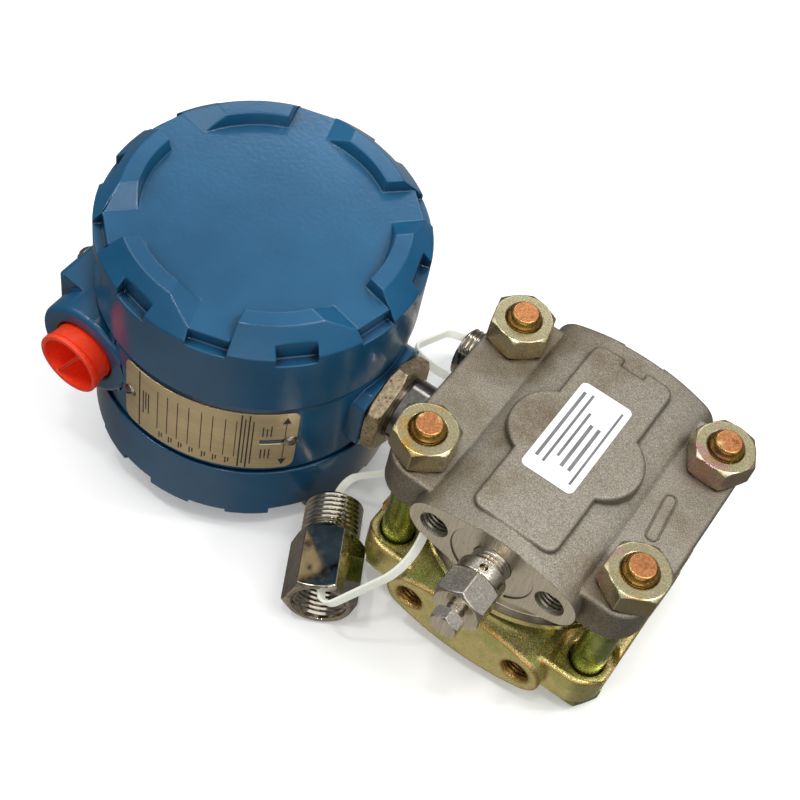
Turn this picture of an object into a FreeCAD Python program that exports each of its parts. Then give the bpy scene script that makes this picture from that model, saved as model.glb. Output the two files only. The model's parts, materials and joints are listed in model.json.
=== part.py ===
# Pressure transmitter: a two-compartment electronics housing on a flanged sensor module.
# It is modelled about the sensor's centre, with +X from the housing to the sensor along the neck
# and +Z along the covers' axis and the flange bolts. The finished solids are then moved so that
# the mouth of the open process port is the origin. All sizes are in millimetres.

import FreeCAD, Part
import math
import os

from FreeCAD import Vector

# Fits and gaps
running_fit = 0.06            # radial, between pieces that turn or slide in each other
seat_gap = 0.05               # between pieces that are fastened together
seal_gap = 0.3                # round a seal in its groove

# Sensor module
sensor_bolt_gap = 1.5         # from the sensor's rims to the flange bolts
sensor_rim_lip = 2.6          # rims beyond the waist
sensor_half_thickness = 10.5
sensor_rim_thickness = 3.0
neck_radius = 11.1            # threaded neck that carries the housing
neck_engagement = 12.0        # thread length inside the neck boss
neck_root_depth = 4.0         # how far the neck is let into the waist
neck_collar_radius = 11.9
neck_collar_length = 7.0
neck_collar_gap = 1.2         # from the lock nut to the collar
diaphragm_radius = 17.0
diaphragm_thickness = 0.4
diaphragm_recess = 0.8
diaphragm_wave_count = 3
diaphragm_wave_width = 1.6

# Process flange and blank flange
flange_length = 88.4          # from end face to end face
mounting_hole_spacing = 41.3  # the two tapped holes beside each port
mounting_hole_radius = 4.9
mounting_hole_depth = 20.0
eye_half_height = 12.8        # the eye-shaped end faces
eye_gap = 0.7                 # from the eye-shaped bars to the sensor
eye_lobe_radius = 8.9
plate_margin_x = 8.8          # ears beyond the bolts' axes
plate_margin_y = 12.0
plate_corner_radius = 11.0
plate_thickness = 15.0
plate_rise = 7.0              # outer face of the ears above the port's axis
plate_edge_round = 1.2
pad_width = 29.2
pad_length = 76.2
pad_rise = 6.6                # pad's top above the ears
pad_root_depth = 3.0
pad_corner_radius = 4.0
pad_lobe_radius = 14.6
pad_lobe_reach = 22.8
pad_edge_round = 1.0
pad_notch_width = 8.0
pad_notch_depth = 3.0
port_thread_radius = 6.6
port_thread_depth = 15.0
port_passage_radius = 2.6
spot_face_radius = 14.3
spot_face_depth = 0.5
flange_boss_radius = 31.0
chamber_depth = 2.0           # process chamber over each diaphragm
oring_groove_radius = 23.0
oring_section_radius = 1.5
oring_side_room = 1.2
oring_top_room = 0.2
bolt_pocket_margin = 3.3      # round the bolt holes
bolt_pocket_depth = 4.0

# Flange bolting
bolt_spacing_x = 74.8
bolt_spacing_y = 55.2
bolt_radius = 5.55
bolt_clearance = 0.55
bolt_head_height = 7.4
bolt_head_across_flats = 15.9
bolt_end_length = 3.2
bolt_end_chamfer = 1.5
bolt_head_turn = 58.0         # corner of each head, in degrees from +X
nut_across_flats = 19.05
nut_height = 9.5
nut_chamfer = 1.0
nut_countersink = 0.6
nut_turns = (37.0, 44.0, 28.0, 58.0)   # corner of each nut, in degrees from +X

# Vent valve in the near port
vent_thread_length = 12.0
vent_neck_length = 4.4
vent_collar_radius = 8.0
vent_collar_length = 4.6
vent_hex_across_flats = 16.0
vent_hex_length = 10.4
vent_hex_chamfer = 1.1
vent_passage_radius = 1.6
vent_bore_radius = 2.9
vent_bore_depth = 18.0        # from the outer end of the hexagon
vent_hole_radius = 1.3
vent_screw_shank_length = 16.0
vent_screw_neck_length = 2.6
vent_screw_head_across_flats = 9.0
vent_screw_head_length = 4.4
vent_screw_head_chamfer = 0.5
vent_ball_clearance = 0.4     # radial, in the bore
vent_ball_gap = 0.2           # from the ball to its seat and to the screw's tip

# Electronics housing
cover_to_sensor = 66.1        # from the covers' rims to the sensor's centre
barrel_radius = 53.2
barrel_half_height = 18.2
collar_length = 14.8          # threaded collars under the covers
collar_wall = 4.6
partition_thickness = 5.0
hub_inset = 21.0              # conduit hubs' axis, inside the barrel's radius
hub_shoulder = 0.4            # hubs' sides below the barrel's ends
hub_face_inset = 2.2          # hubs' faces, inside the barrel's radius
hub_edge_round = 2.0
conduit_thread_radius = 10.6
conduit_thread_depth = 17.0
conduit_passage_radius = 8.0
conduit_mouth_chamfer = 1.4
block_inset = 1.2             # block between the hubs, inside the barrel's radius
block_half_length = 41.0
block_half_height = 16.0
block_edge_round = 3.0
boss_proud = 2.8              # neck boss beyond the barrel
boss_half_width = 16.0
boss_half_height = 14.0
boss_corner = 4.0
lock_nut_across_flats = 31.0
lock_nut_height = 5.5
lock_nut_chamfer = 1.0

# Covers
cover_overhang = 1.0          # rims beyond the barrel
cover_skirt = 6.6             # from the rim to the threaded collar
cover_seam_gap = 0.7
cover_headroom = 10.5         # from the collar's end to the ceiling
cover_wall = 5.0
cover_block_height = 4.5      # blocks above the disc
cover_cone_height = 7.5       # from the cone's start to the blocks' tops
cover_cone_width = 7.7
cover_block_width = 6.5
cover_block_draft = 1.0       # slope of the blocks' inner walls
cover_block_count = 6
cover_notch_width = 13.0
cover_notch_draft = 0.5
cover_ramp_length = 8.6
cover_facet_depth = 3.6       # flat behind each notch
cover_facet_drop = 1.5        # its floor below the cone's start
cover_recess_width = 13.0
cover_recess_depth = 3.8      # grip in each block
cover_recess_drop = 3.1
cover_cut_over = 1.0          # how far the cutters pass the cover
cover_seal_room = 0.45        # from the collar to the seal
cover_seal_section = 1.25
cover_ceiling_round = 4.0
upper_cover_turn = 48.0       # angle of a notch, in degrees
lower_cover_turn = 52.8

# Nameplate and small screws
plate_start_angle = -104.0
plate_end_angle = -37.5
plate_half_height = 15.8
plate_sheet = 0.6
plate_round = 3.0
plate_screw_angles = (-101.0, -39.9)
plate_screw_head_radius = 2.6
plate_screw_head_height = 1.5
plate_screw_radius = 1.2
plate_screw_depth = 6.0
plate_slot_angle = -45.5
plate_slot_length = 10.0
plate_slot_width = 2.6
ground_screw_radius = 2.1
ground_screw_depth = 9.0
ground_screw_head_radius = 4.2
ground_screw_head_height = 3.2
ground_screw_y = -26.0
ground_screw_z = 9.5

# Conduit plug in the near hub
plug_rim_lip = 0.4            # rim beyond the body
plug_rim_thickness = 1.8
plug_stand_off = 7.5          # rim's front above the hub's face
plug_flare = 0.6              # body beyond the thread, at the rim
plug_depth = 11.0             # length inside the thread
plug_wall = 1.3
plug_web = 1.0
plug_web_turn = -30.0

# Compartments' contents
board_margin = 5.0            # from the compartment's wall
board_thickness = 1.6
board_spacing = 6.9
board_spacer_radius = 2.6
board_spacer_inset = 6.0      # from the board's edge
board_screw_radius = 1.3
board_screw_head_radius = 2.5
board_screw_head_height = 1.6
board_screw_depth = 3.0       # thread in the partition
board_count = 2
spacer_count = 3
terminal_block_length = 54.0
terminal_block_width = 22.0
terminal_block_height = 13.0
terminal_step = 4.0           # the barrier ledge along the block's back
terminal_count = 5
terminal_pitch = 10.0
terminal_screw_radius = 1.5
terminal_screw_head_radius = 3.0
terminal_screw_head_height = 1.8
terminal_screw_depth = 6.0
pin_radius = 0.8
pin_circle = 12.0
pin_count = 6
pin_length_above = 6.0
pin_length_below = 3.0

# Thread adapters and the ties that hold them
adapter_across_flats = 22.5
adapter_hex_length = 24.5
adapter_hex_chamfer = 1.2
adapter_hex_turn = 11.0       # how far the hexagon has rolled from a flat face up
adapter_thread_radius = 10.2
adapter_thread_length = 15.3
adapter_thread_chamfer = 1.2
adapter_mouth_radius = 9.3
adapter_mouth_depth = 17.0
adapter_bore_radius = 7.2
near_mouth_side = 7.5         # near mouth from its bolt: towards the housing,
near_mouth_front = 31.2       # out in front of the flanges,
near_mouth_drop = 37.1        # and below the middle plane
near_adapter_direction = Vector(0.466, -0.882, 0.058)
rear_mouth_side = 11.9
rear_mouth_back = 32.4
rear_mouth_drop = 31.8
rear_adapter_direction = Vector(0.993, 0.0, 0.119)
tie_width = 3.2
tie_thickness = 1.1
tie_bolt_gap = 0.3
near_tie_height = -7.9        # where the tie's plane meets the bolt's axis
near_tie_lift = 5.3           # strap in the bore, above the adapter's axis
near_tie_reaches = (5.0, 1.0, -36.0, -48.0)   # corners along the adapter, from its mouth
near_tie_rounds = (7.0, 18.0, 16.0, 7.0)
rear_tie_height = -2.5
rear_tie_lift = 4.6
rear_tie_shift = 2.4
rear_tie_reaches = (2.0, -2.0, -43.0, -47.5)
rear_tie_rounds = (7.0, 7.0, 18.0, 7.0)

# Paper label on the pad
label_length = 39.0
label_width = 18.4
label_thickness = 0.15
label_round = 2.0
label_shift_x = -1.0
label_shift_y = 2.0

up = Vector(0, 0, 1)
bolt_hole_radius = bolt_radius + bolt_clearance
bolt_pocket_radius = bolt_hole_radius + bolt_pocket_margin
sensor_rim_radius = math.hypot(bolt_spacing_x, bolt_spacing_y) / 2 - bolt_radius - sensor_bolt_gap
sensor_waist_radius = sensor_rim_radius - sensor_rim_lip
port_height = sensor_half_thickness + eye_gap + eye_half_height
plate_width = bolt_spacing_x + 2 * plate_margin_x
plate_length = bolt_spacing_y + 2 * plate_margin_y
plate_outer_height = port_height + plate_rise
pad_height = plate_outer_height + pad_rise
pad_root_height = plate_outer_height - pad_root_depth
oring_groove_width = 2 * oring_section_radius + oring_side_room
oring_groove_depth = 2 * oring_section_radius + oring_top_room
vent_ball_radius = vent_bore_radius - vent_ball_clearance
cover_radius = barrel_radius + cover_overhang
cover_facet_reach = cover_radius - cover_facet_depth
cover_recess_reach = cover_radius - cover_recess_depth
cover_top_radius = cover_radius - cover_cone_width
cover_disc_radius = cover_top_radius - cover_block_width
collar_radius = cover_radius - cover_skirt
collar_height = barrel_half_height + collar_length
partition_top = barrel_half_height    # flush with the barrel's end
compartment_radius = collar_radius - collar_wall
cover_seal_radius = collar_radius + cover_seal_room + cover_seal_section
cover_disc_height = collar_height + cover_headroom + cover_wall
cover_top = cover_disc_height + cover_block_height
cover_shoulder = cover_top - cover_cone_height
cover_facet_height = cover_shoulder - cover_facet_drop
cover_recess_height = cover_shoulder - cover_recess_drop
barrel_offset = cover_radius + cover_to_sensor
hub_offset = barrel_radius - hub_inset
hub_radius = barrel_half_height - hub_shoulder
hub_face = barrel_radius - hub_face_inset
block_reach = barrel_radius - block_inset
boss_reach = barrel_radius + boss_proud
plug_body_radius = conduit_thread_radius + plug_flare
plug_rim_radius = plug_body_radius + plug_rim_lip
board_radius = compartment_radius - board_margin
board_spacer_circle = board_radius - board_spacer_inset
barrel = Vector(-barrel_offset, 0, 0)
flange_end = flange_length / 2
port_mouth = Vector(0, flange_end - spot_face_depth, port_height)
plate_inner_height = plate_outer_height - plate_thickness
seam_height = barrel_half_height + cover_seam_gap
boss_face = -barrel_offset + boss_reach
nut_face = boss_face + seat_gap + lock_nut_height
neck_end = boss_face - neck_engagement
bolt_places = [
    Vector(side * bolt_spacing_x / 2, end * bolt_spacing_y / 2, 0)
    for side in (-1, 1)
    for end in (-1, 1)
]
near_bolt = Vector(-bolt_spacing_x / 2, -bolt_spacing_y / 2, 0)
rear_bolt = Vector(-bolt_spacing_x / 2, bolt_spacing_y / 2, 0)


# Shape helpers

def cylinder(radius, start, end):
    return Part.makeCylinder(radius, (end - start).Length, start, end - start)


def box(low, high):
    return Part.makeBox(high.x - low.x, high.y - low.y, high.z - low.z, low)


def prism(points, travel):
    return Part.Face(Part.makePolygon(points + points[:1])).extrude(travel)


def aimed(shape, start, axis):
    """Move a shape from the local Z axis to a start point and direction."""
    placed = shape.copy()
    placed.Placement = FreeCAD.Placement(start, FreeCAD.Rotation(up, axis))
    return placed


def turned(profile, start=Vector(), axis=up):
    """Revolve (distance along the axis, radius) pairs."""
    points = [Vector(radius, 0, along) for along, radius in profile]
    face = Part.Face(Part.makePolygon(points + points[:1]))
    return aimed(face.revolve(Vector(), up, 360), start, axis)


def hexagon(across_flats, start, end, corner):
    """Six-sided prism with one corner towards the given direction."""
    axis = (end - start).normalize()
    side = axis.cross(corner)
    reach = across_flats / math.sqrt(3)
    turns = [math.radians(60 * step) for step in range(6)]
    points = [start + corner * (reach * math.cos(a)) + side * (reach * math.sin(a)) for a in turns]
    return prism(points, end - start)


def chamfered_hexagon(across_flats, start, end, corner, chamfer, ends=(True, True)):
    """Hexagon whose corners are turned off at the chosen ends."""
    reach = across_flats / math.sqrt(3) + seat_gap
    length = (end - start).Length
    flat = reach - chamfer * math.sqrt(3)
    profile = [(0, 0)]
    profile += [(0, flat), (chamfer, reach)] if ends[0] else [(0, reach)]
    profile += [(length - chamfer, reach), (length, flat)] if ends[1] else [(length, reach)]
    profile += [(length, 0)]
    return hexagon(across_flats, start, end, corner).common(turned(profile, start, end - start))


def edges_along(shape, direction):
    """Straight edges parallel to a direction."""
    found = []
    for edge in shape.Edges:
        if edge.Curve.TypeId == "Part::GeomLine":
            if edge.tangentAt(edge.FirstParameter).cross(direction).Length < 1e-6:
                found.append(edge)
    return found


def edges_at_height(shape, height):
    """Edges that lie in the plane z = height."""
    box_edges = [(edge, edge.BoundBox) for edge in shape.Edges]
    return [edge for edge, b in box_edges if abs(b.ZMin - height) < 1e-6 and abs(b.ZMax - height) < 1e-6]


def rounded_box(low, high, radius, direction=up):
    block = box(low, high)
    return block.makeFillet(radius, edges_along(block, direction))


def spun(shape, angle, center=Vector(), axis=up):
    turned_copy = shape.copy()
    turned_copy.rotate(center, axis, angle)
    return turned_copy


def flipped(shape):
    """Turn a shape upside down about the middle plane's Y axis."""
    return spun(shape, 180, Vector(), Vector(0, 1, 0))


def round_head(head_radius, head_height):
    """Domed screw head that stands on the local XY plane."""
    sphere_radius = (head_radius ** 2 + head_height ** 2) / (2 * head_height)
    ball = Part.makeSphere(sphere_radius, Vector(0, 0, head_height - sphere_radius))
    return ball.common(Part.makeCylinder(head_radius, head_height))


def export(name, *solids):
    shape = solids[0] if len(solids) == 1 else Part.makeCompound(list(solids))
    moved = shape.copy()
    moved.translate(-port_mouth)
    moved.exportStep("parts/" + name + ".step")


# Flanges

def eye_prism():
    """Eye-shaped bar along Y: two lobes round the tapped holes, joined by tangent arcs."""
    half = mounting_hole_spacing / 2
    rise = eye_half_height - eye_lobe_radius
    depth = (half ** 2 - rise ** 2) / (2 * rise)
    reach = math.hypot(half, depth)
    touch_x = half + eye_lobe_radius * half / reach
    touch_z = eye_lobe_radius * depth / reach

    def at(x, z):
        return Vector(x, -flange_end, port_height + z)

    tip = half + eye_lobe_radius
    edges = [
        Part.Arc(at(-touch_x, touch_z), at(0, eye_half_height), at(touch_x, touch_z)).toShape(),
        Part.Arc(at(touch_x, touch_z), at(tip, 0), at(touch_x, -touch_z)).toShape(),
        Part.Arc(at(touch_x, -touch_z), at(0, -eye_half_height), at(-touch_x, -touch_z)).toShape(),
        Part.Arc(at(-touch_x, -touch_z), at(-tip, 0), at(-touch_x, touch_z)).toShape(),
    ]
    return Part.Face(Part.Wire(edges)).extrude(Vector(0, flange_length, 0))


def ear_plate():
    half_x = plate_width / 2
    half_y = plate_length / 2
    low = Vector(-half_x, -half_y, plate_inner_height)
    plate = rounded_box(low, Vector(half_x, half_y, plate_outer_height), plate_corner_radius)
    rims = edges_at_height(plate, plate_outer_height) + edges_at_height(plate, plate_inner_height)
    return plate.makeFillet(plate_edge_round, rims)


def raised_pad():
    """Rectangular pad with a round lobe on each side and a small notch at its far end."""
    half_x = pad_width / 2
    half_y = pad_length / 2
    low = Vector(-half_x, -half_y, pad_root_height)
    pad = rounded_box(low, Vector(half_x, half_y, pad_height), pad_corner_radius)
    for side in (-1, 1):
        centre = Vector(side * (pad_lobe_reach - pad_lobe_radius), 0, pad_root_height)
        pad = pad.fuse(cylinder(pad_lobe_radius, centre, Vector(centre.x, 0, pad_height)))
    notch_low = Vector(-pad_notch_width / 2, half_y - pad_notch_depth, pad_root_height)
    notch = box(notch_low, Vector(pad_notch_width / 2, half_y, pad_height))
    pad = pad.cut(notch).removeSplitter()
    return pad.makeFillet(pad_edge_round, edges_at_height(pad, pad_height))


def flange_body():
    """What both flanges share: eye bar, ear plate, sensor boss, tapped holes and bolt holes."""
    boss = cylinder(flange_boss_radius, up * sensor_half_thickness, up * port_height)
    body = eye_prism().fuse([ear_plate(), boss])
    groove_start = up * sensor_half_thickness
    groove_end = up * (sensor_half_thickness + oring_groove_depth)
    groove = cylinder(oring_groove_radius + oring_groove_width / 2, groove_start, groove_end)
    core = cylinder(oring_groove_radius - oring_groove_width / 2, groove_start, groove_end)
    groove = groove.cut(core)
    chamber = cylinder(diaphragm_radius, groove_start, groove_start + up * chamber_depth)
    cuts = [groove, chamber]
    for place in bolt_places:
        cuts.append(cylinder(bolt_hole_radius, place, place + up * (pad_height + plate_thickness)))
    for end in (-1, 1):
        for side in (-1, 1):
            mouth = Vector(side * mounting_hole_spacing / 2, end * flange_end, port_height)
            bottom = mouth - Vector(0, end * mounting_hole_depth, 0)
            cuts.append(cylinder(mounting_hole_radius, mouth, bottom))
    return body.cut(cuts)


def process_flange():
    body = flange_body().fuse(raised_pad())
    across = Vector(0, flange_end - port_thread_depth, port_height)
    cuts = [
        cylinder(port_passage_radius, Vector(0, -across.y, port_height), across),
        cylinder(port_passage_radius, up * sensor_half_thickness, up * port_height),
    ]
    for end in (-1, 1):
        mouth = Vector(0, end * flange_end, port_height)
        inward = Vector(0, -end, 0)
        cuts.append(cylinder(spot_face_radius, mouth, mouth + inward * spot_face_depth))
        cuts.append(cylinder(port_thread_radius, mouth, mouth + inward * port_thread_depth))
    return body.cut(cuts).removeSplitter()


def blank_flange():
    """Flange with no port, and a pocket round each bolt on its inner face."""
    body = flange_body()
    floor = plate_inner_height + bolt_pocket_depth
    cuts = []
    for place in bolt_places:
        pocket = cylinder(bolt_pocket_radius, place + up * plate_inner_height, place + up * floor)
        slot_end = place.x - math.copysign(bolt_pocket_radius, place.x)
        low = Vector(min(place.x, slot_end), place.y - bolt_pocket_radius, plate_inner_height)
        high = Vector(max(place.x, slot_end), place.y + bolt_pocket_radius, floor)
        cuts += [pocket, box(low, high)]
    body = body.cut(Part.makeCompound(cuts).cut(eye_prism())).removeSplitter()
    return flipped(body)


def flange_bolts():
    top = plate_outer_height + nut_height + bolt_end_length
    bolts = []
    for place in bolt_places:
        seat = place - up * plate_outer_height
        length = top + plate_outer_height
        shank = turned([
            (0, 0), (0, bolt_radius), (length - bolt_end_chamfer, bolt_radius),
            (length, bolt_radius - bolt_end_chamfer), (length, 0),
        ], seat)
        head = chamfered_hexagon(
            bolt_head_across_flats, seat - up * bolt_head_height, seat, outward(bolt_head_turn),
            nut_chamfer, (True, False))
        bolts.append(shank.fuse(head).removeSplitter())
    return bolts


def flange_nuts():
    nuts = []
    hole = bolt_radius + seat_gap
    for place, turn in zip(bolt_places, nut_turns):
        seat = place + up * plate_outer_height
        nut = chamfered_hexagon(
            nut_across_flats, seat, seat + up * nut_height, outward(turn), nut_chamfer)
        bore = turned([
            (0, 0), (0, hole), (nut_height - nut_countersink, hole),
            (nut_height, hole + nut_countersink), (nut_height, 0),
        ], seat)
        nuts.append(nut.cut(bore))
    return nuts


# Sensor

def sensor_module():
    rim_start = sensor_half_thickness - sensor_rim_thickness
    floor = sensor_half_thickness - diaphragm_recess
    recess = diaphragm_radius + seat_gap
    half = [
        (0, sensor_waist_radius), (rim_start, sensor_waist_radius), (rim_start, sensor_rim_radius),
        (sensor_half_thickness, sensor_rim_radius), (sensor_half_thickness, recess),
        (floor, recess), (floor, 0),
    ]
    disc = turned(half + [(-along, radius) for along, radius in reversed(half[1:])])
    neck_root = neck_root_depth - sensor_waist_radius
    neck = cylinder(neck_radius, Vector(neck_end, 0, 0), Vector(neck_root, 0, 0))
    collar_start = Vector(nut_face + neck_collar_gap, 0, 0)
    collar_end = collar_start + Vector(neck_collar_length, 0, 0)
    collar = cylinder(neck_collar_radius, collar_start, collar_end)
    return disc.fuse([neck, collar]).removeSplitter()


def isolating_diaphragm():
    """Thin waved disc in the sensor's recess."""
    low = sensor_half_thickness - diaphragm_recess
    crest = low + diaphragm_thickness
    lower = [(low, diaphragm_radius)]
    upper = [(crest, diaphragm_radius)]
    for wave in range(diaphragm_wave_count):
        outer = diaphragm_radius - diaphragm_wave_width * (2 * wave + 1)
        middle = outer - diaphragm_wave_width / 2
        inner = outer - diaphragm_wave_width
        lower += [(low, outer), (low + diaphragm_thickness / 2, middle), (low, inner)]
        upper += [(crest, outer), (crest + diaphragm_thickness / 2, middle), (crest, inner)]
    return turned(lower + [(low, 0), (crest, 0)] + upper[::-1])


def process_oring():
    lift = sensor_half_thickness + oring_section_radius + seat_gap
    return Part.makeTorus(oring_groove_radius, oring_section_radius, up * lift)


def neck_lock_nut():
    start = Vector(boss_face + seat_gap, 0, 0)
    end = Vector(nut_face, 0, 0)
    nut = chamfered_hexagon(lock_nut_across_flats, start, end, up, lock_nut_chamfer)
    return nut.cut(cylinder(neck_radius + seat_gap, start, end))


# Vent valve, along -Y out of the near port

vent_axis = Vector(0, -1, 0)
vent_mouth = Vector(0, -flange_end, port_height)
vent_hex_start = vent_neck_length + vent_collar_length
vent_hex_end = vent_hex_start + vent_hex_length
vent_seat_depth = vent_hex_end - vent_bore_depth


def vent_point(along):
    return vent_mouth + vent_axis * along


def vent_valve_seat():
    thread = port_thread_radius - seat_gap
    body = turned([
        (-vent_thread_length, 0), (-vent_thread_length, thread), (vent_neck_length, thread),
        (vent_neck_length, vent_collar_radius), (vent_hex_start, vent_collar_radius), (vent_hex_start, 0),
    ], vent_mouth, vent_axis)
    hexagon_part = chamfered_hexagon(
        vent_hex_across_flats, vent_point(vent_hex_start), vent_point(vent_hex_end), up, vent_hex_chamfer)
    body = body.fuse(hexagon_part)
    hole_place = vent_point(vent_neck_length + vent_collar_length / 2)
    cone = vent_bore_radius - vent_passage_radius
    bore = turned([
        (-vent_thread_length, 0), (-vent_thread_length, vent_passage_radius),
        (vent_seat_depth - cone, vent_passage_radius), (vent_seat_depth, vent_bore_radius),
        (vent_hex_end, vent_bore_radius), (vent_hex_end, 0),
    ], vent_mouth, vent_axis)
    side_hole = cylinder(vent_hole_radius, hole_place, hole_place + up * 2 * vent_collar_radius)
    return body.cut([bore, side_hole])


def vent_ball_centre():
    """Where the ball meets the cone of its seat, with its gap."""
    tip = vent_seat_depth - vent_bore_radius
    return tip + (vent_ball_radius + vent_ball_gap) * math.sqrt(2)


def vent_ball():
    return Part.makeSphere(vent_ball_radius, vent_point(vent_ball_centre()))


def vent_valve_screw():
    tip = vent_ball_centre() + vent_ball_radius + vent_ball_gap
    head_start = max(tip + vent_screw_shank_length, vent_hex_end + vent_screw_neck_length)
    radius = vent_bore_radius - running_fit
    shank = cylinder(radius, vent_point(tip), vent_point(head_start))
    head_end = head_start + vent_screw_head_length
    head = chamfered_hexagon(
        vent_screw_head_across_flats, vent_point(head_start), vent_point(head_end),
        up, vent_screw_head_chamfer)
    return shank.fuse(head).removeSplitter()


# Housing

def conduit_hub(end):
    axis = Vector(0, end, 0)
    inner = barrel + Vector(-hub_offset, 0, 0)
    hub = cylinder(hub_radius, inner, inner + axis * hub_face)
    rims = [edge for edge in hub.Edges if abs(edge.CenterOfMass.y - end * hub_face) < 1e-6]
    return hub.makeFillet(hub_edge_round, rims)


def conduit_bore(end):
    mouth = barrel + Vector(-hub_offset, end * hub_face, 0)
    inward = Vector(0, -end, 0)
    length = hub_face - math.sqrt(compartment_radius ** 2 - hub_offset ** 2) + conduit_passage_radius
    return turned([
        (0, 0), (0, conduit_thread_radius + conduit_mouth_chamfer),
        (conduit_mouth_chamfer, conduit_thread_radius),
        (conduit_thread_depth, conduit_thread_radius), (conduit_thread_depth, conduit_passage_radius),
        (length, conduit_passage_radius), (length, 0),
    ], mouth, inward)


def neck_boss():
    low = barrel + Vector(0, -boss_half_width, -boss_half_height)
    high = barrel + Vector(boss_reach, boss_half_width, boss_half_height)
    boss = box(low, high)
    return boss.makeChamfer(boss_corner, edges_along(boss, Vector(1, 0, 0)))


def hub_block():
    low = barrel + Vector(-block_reach, -block_half_length, -block_half_height)
    high = barrel + Vector(0, block_half_length, block_half_height)
    block = box(low, high)
    outer = [edge for edge in block.Edges if abs(edge.CenterOfMass.x - low.x) < 1e-6]
    return block.makeFillet(block_edge_round, outer)


def electronics_housing():
    body = cylinder(barrel_radius, barrel - up * barrel_half_height, barrel + up * barrel_half_height)
    collars = cylinder(collar_radius, barrel - up * collar_height, barrel + up * collar_height)
    body = body.fuse([collars, hub_block(), conduit_hub(-1), conduit_hub(1), neck_boss()]).removeSplitter()
    partition_low = partition_top - partition_thickness
    open_end = up * (collar_height + seat_gap)
    neck_bottom = barrel + Vector(barrel_radius / 2, 0, 0)
    ground_bottom = ground_seat() + Vector(ground_screw_depth, 0, 0)
    cuts = [
        cylinder(compartment_radius, barrel + up * partition_top, barrel + open_end),
        cylinder(compartment_radius, barrel - open_end, barrel + up * partition_low),
        conduit_bore(-1), conduit_bore(1),
        cylinder(neck_radius + seat_gap, Vector(boss_face, 0, 0), neck_bottom),
        cylinder(ground_screw_radius + seat_gap, ground_seat(), ground_bottom),
    ]
    for angle in plate_screw_angles:
        cuts.append(aimed(
            Part.makeCylinder(plate_screw_radius + seat_gap, plate_screw_depth),
            barrel + outward(angle) * (barrel_radius - plate_screw_depth), outward(angle)))
    for place in spacer_places(partition_top - board_screw_depth):
        cuts.append(cylinder(board_screw_radius + seat_gap, place, place + up * board_screw_depth))
    for place in pin_places():
        cuts.append(cylinder(pin_radius + seat_gap, place, place + up * partition_thickness))
    return body.cut(cuts)


def outward(angle):
    return Vector(math.cos(math.radians(angle)), math.sin(math.radians(angle)), 0)


def screw_cover():
    """Cover in its own upright frame: blocks, notches with one ramped side, facets and recesses."""
    bore = collar_radius + running_fit
    groove_top = seam_height + 2 * cover_seal_section + seal_gap
    groove_radius = cover_seal_radius + cover_seal_section + seal_gap
    ceiling = cover_disc_height - cover_wall
    body = turned([
        (seam_height, groove_radius), (seam_height, cover_radius), (cover_shoulder, cover_radius),
        (cover_top, cover_top_radius), (cover_top, cover_disc_radius + cover_block_draft),
        (cover_disc_height, cover_disc_radius), (cover_disc_height, 0), (ceiling, 0),
        (ceiling, bore - cover_ceiling_round), (ceiling - cover_ceiling_round, bore),
        (groove_top, bore), (groove_top, groove_radius),
    ])
    reach = cover_radius + cover_cut_over
    height = cover_top + cover_cut_over
    half = cover_notch_width / 2
    over = (height - cover_disc_height) / cover_block_height
    profile = [
        Vector(0, half, cover_disc_height),
        Vector(0, half + cover_notch_draft * over, height),
        Vector(0, -half - cover_ramp_length * over, height),
        Vector(0, -half, cover_disc_height),
    ]
    notch = prism(profile, Vector(reach, 0, 0))
    facet = box(Vector(cover_facet_reach, -half, cover_facet_height), Vector(reach, half, height))
    recess_half = cover_recess_width / 2
    recess = box(
        Vector(cover_recess_reach, -recess_half, cover_recess_height),
        Vector(reach, recess_half, height))
    step = 360 / cover_block_count
    cuts = []
    for index in range(cover_block_count):
        cuts += [spun(notch, step * index), spun(facet, step * index), spun(recess, step * (index + 0.5))]
    return body.cut(cuts)


def cover_seal():
    lift = seam_height + cover_seal_section
    return Part.makeTorus(cover_seal_radius, cover_seal_section, up * lift)


def on_barrel(shape, turn, upside_down=False):
    placed = flipped(shape) if upside_down else shape.copy()
    placed.rotate(Vector(), up, turn)
    placed.translate(barrel)
    return placed


# Nameplate and screws

def nameplate():
    inner = barrel_radius + seat_gap
    sheet = cylinder(inner + plate_sheet, up * -plate_half_height, up * plate_half_height)
    sheet = sheet.cut(cylinder(inner, up * -plate_half_height, up * plate_half_height))
    half_angle = math.radians(plate_end_angle - plate_start_angle) / 2
    half_width = inner * math.sin(half_angle)
    low = Vector(0, -half_width, -plate_half_height)
    high = Vector(inner + 2 * plate_sheet, half_width, plate_half_height)
    outline = rounded_box(low, high, plate_round, Vector(1, 0, 0))
    plate = spun(sheet.common(outline), (plate_start_angle + plate_end_angle) / 2)
    slot = box(
        Vector(inner / 2, -plate_slot_length / 2, -plate_slot_width / 2),
        Vector(inner + 2 * plate_sheet, plate_slot_length / 2, plate_slot_width / 2))
    cuts = [spun(slot, plate_slot_angle)]
    for angle in plate_screw_angles:
        through = outward(angle) * (inner + 2 * plate_sheet)
        cuts.append(cylinder(plate_screw_radius + seat_gap, Vector(), through))
    plate = plate.cut(cuts)
    plate.translate(barrel)
    return plate


def nameplate_screws():
    screws = []
    for angle in plate_screw_angles:
        seat = barrel + outward(angle) * (barrel_radius + seat_gap + plate_sheet)
        head = round_head(plate_screw_head_radius, plate_screw_head_height)
        length = plate_screw_depth + seat_gap + plate_sheet
        shank = Part.makeCylinder(plate_screw_radius, length, Vector(0, 0, -length))
        screws.append(aimed(head.fuse(shank), seat, outward(angle)))
    return screws


def ground_seat():
    return barrel + Vector(-block_reach, ground_screw_y, ground_screw_z)


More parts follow.
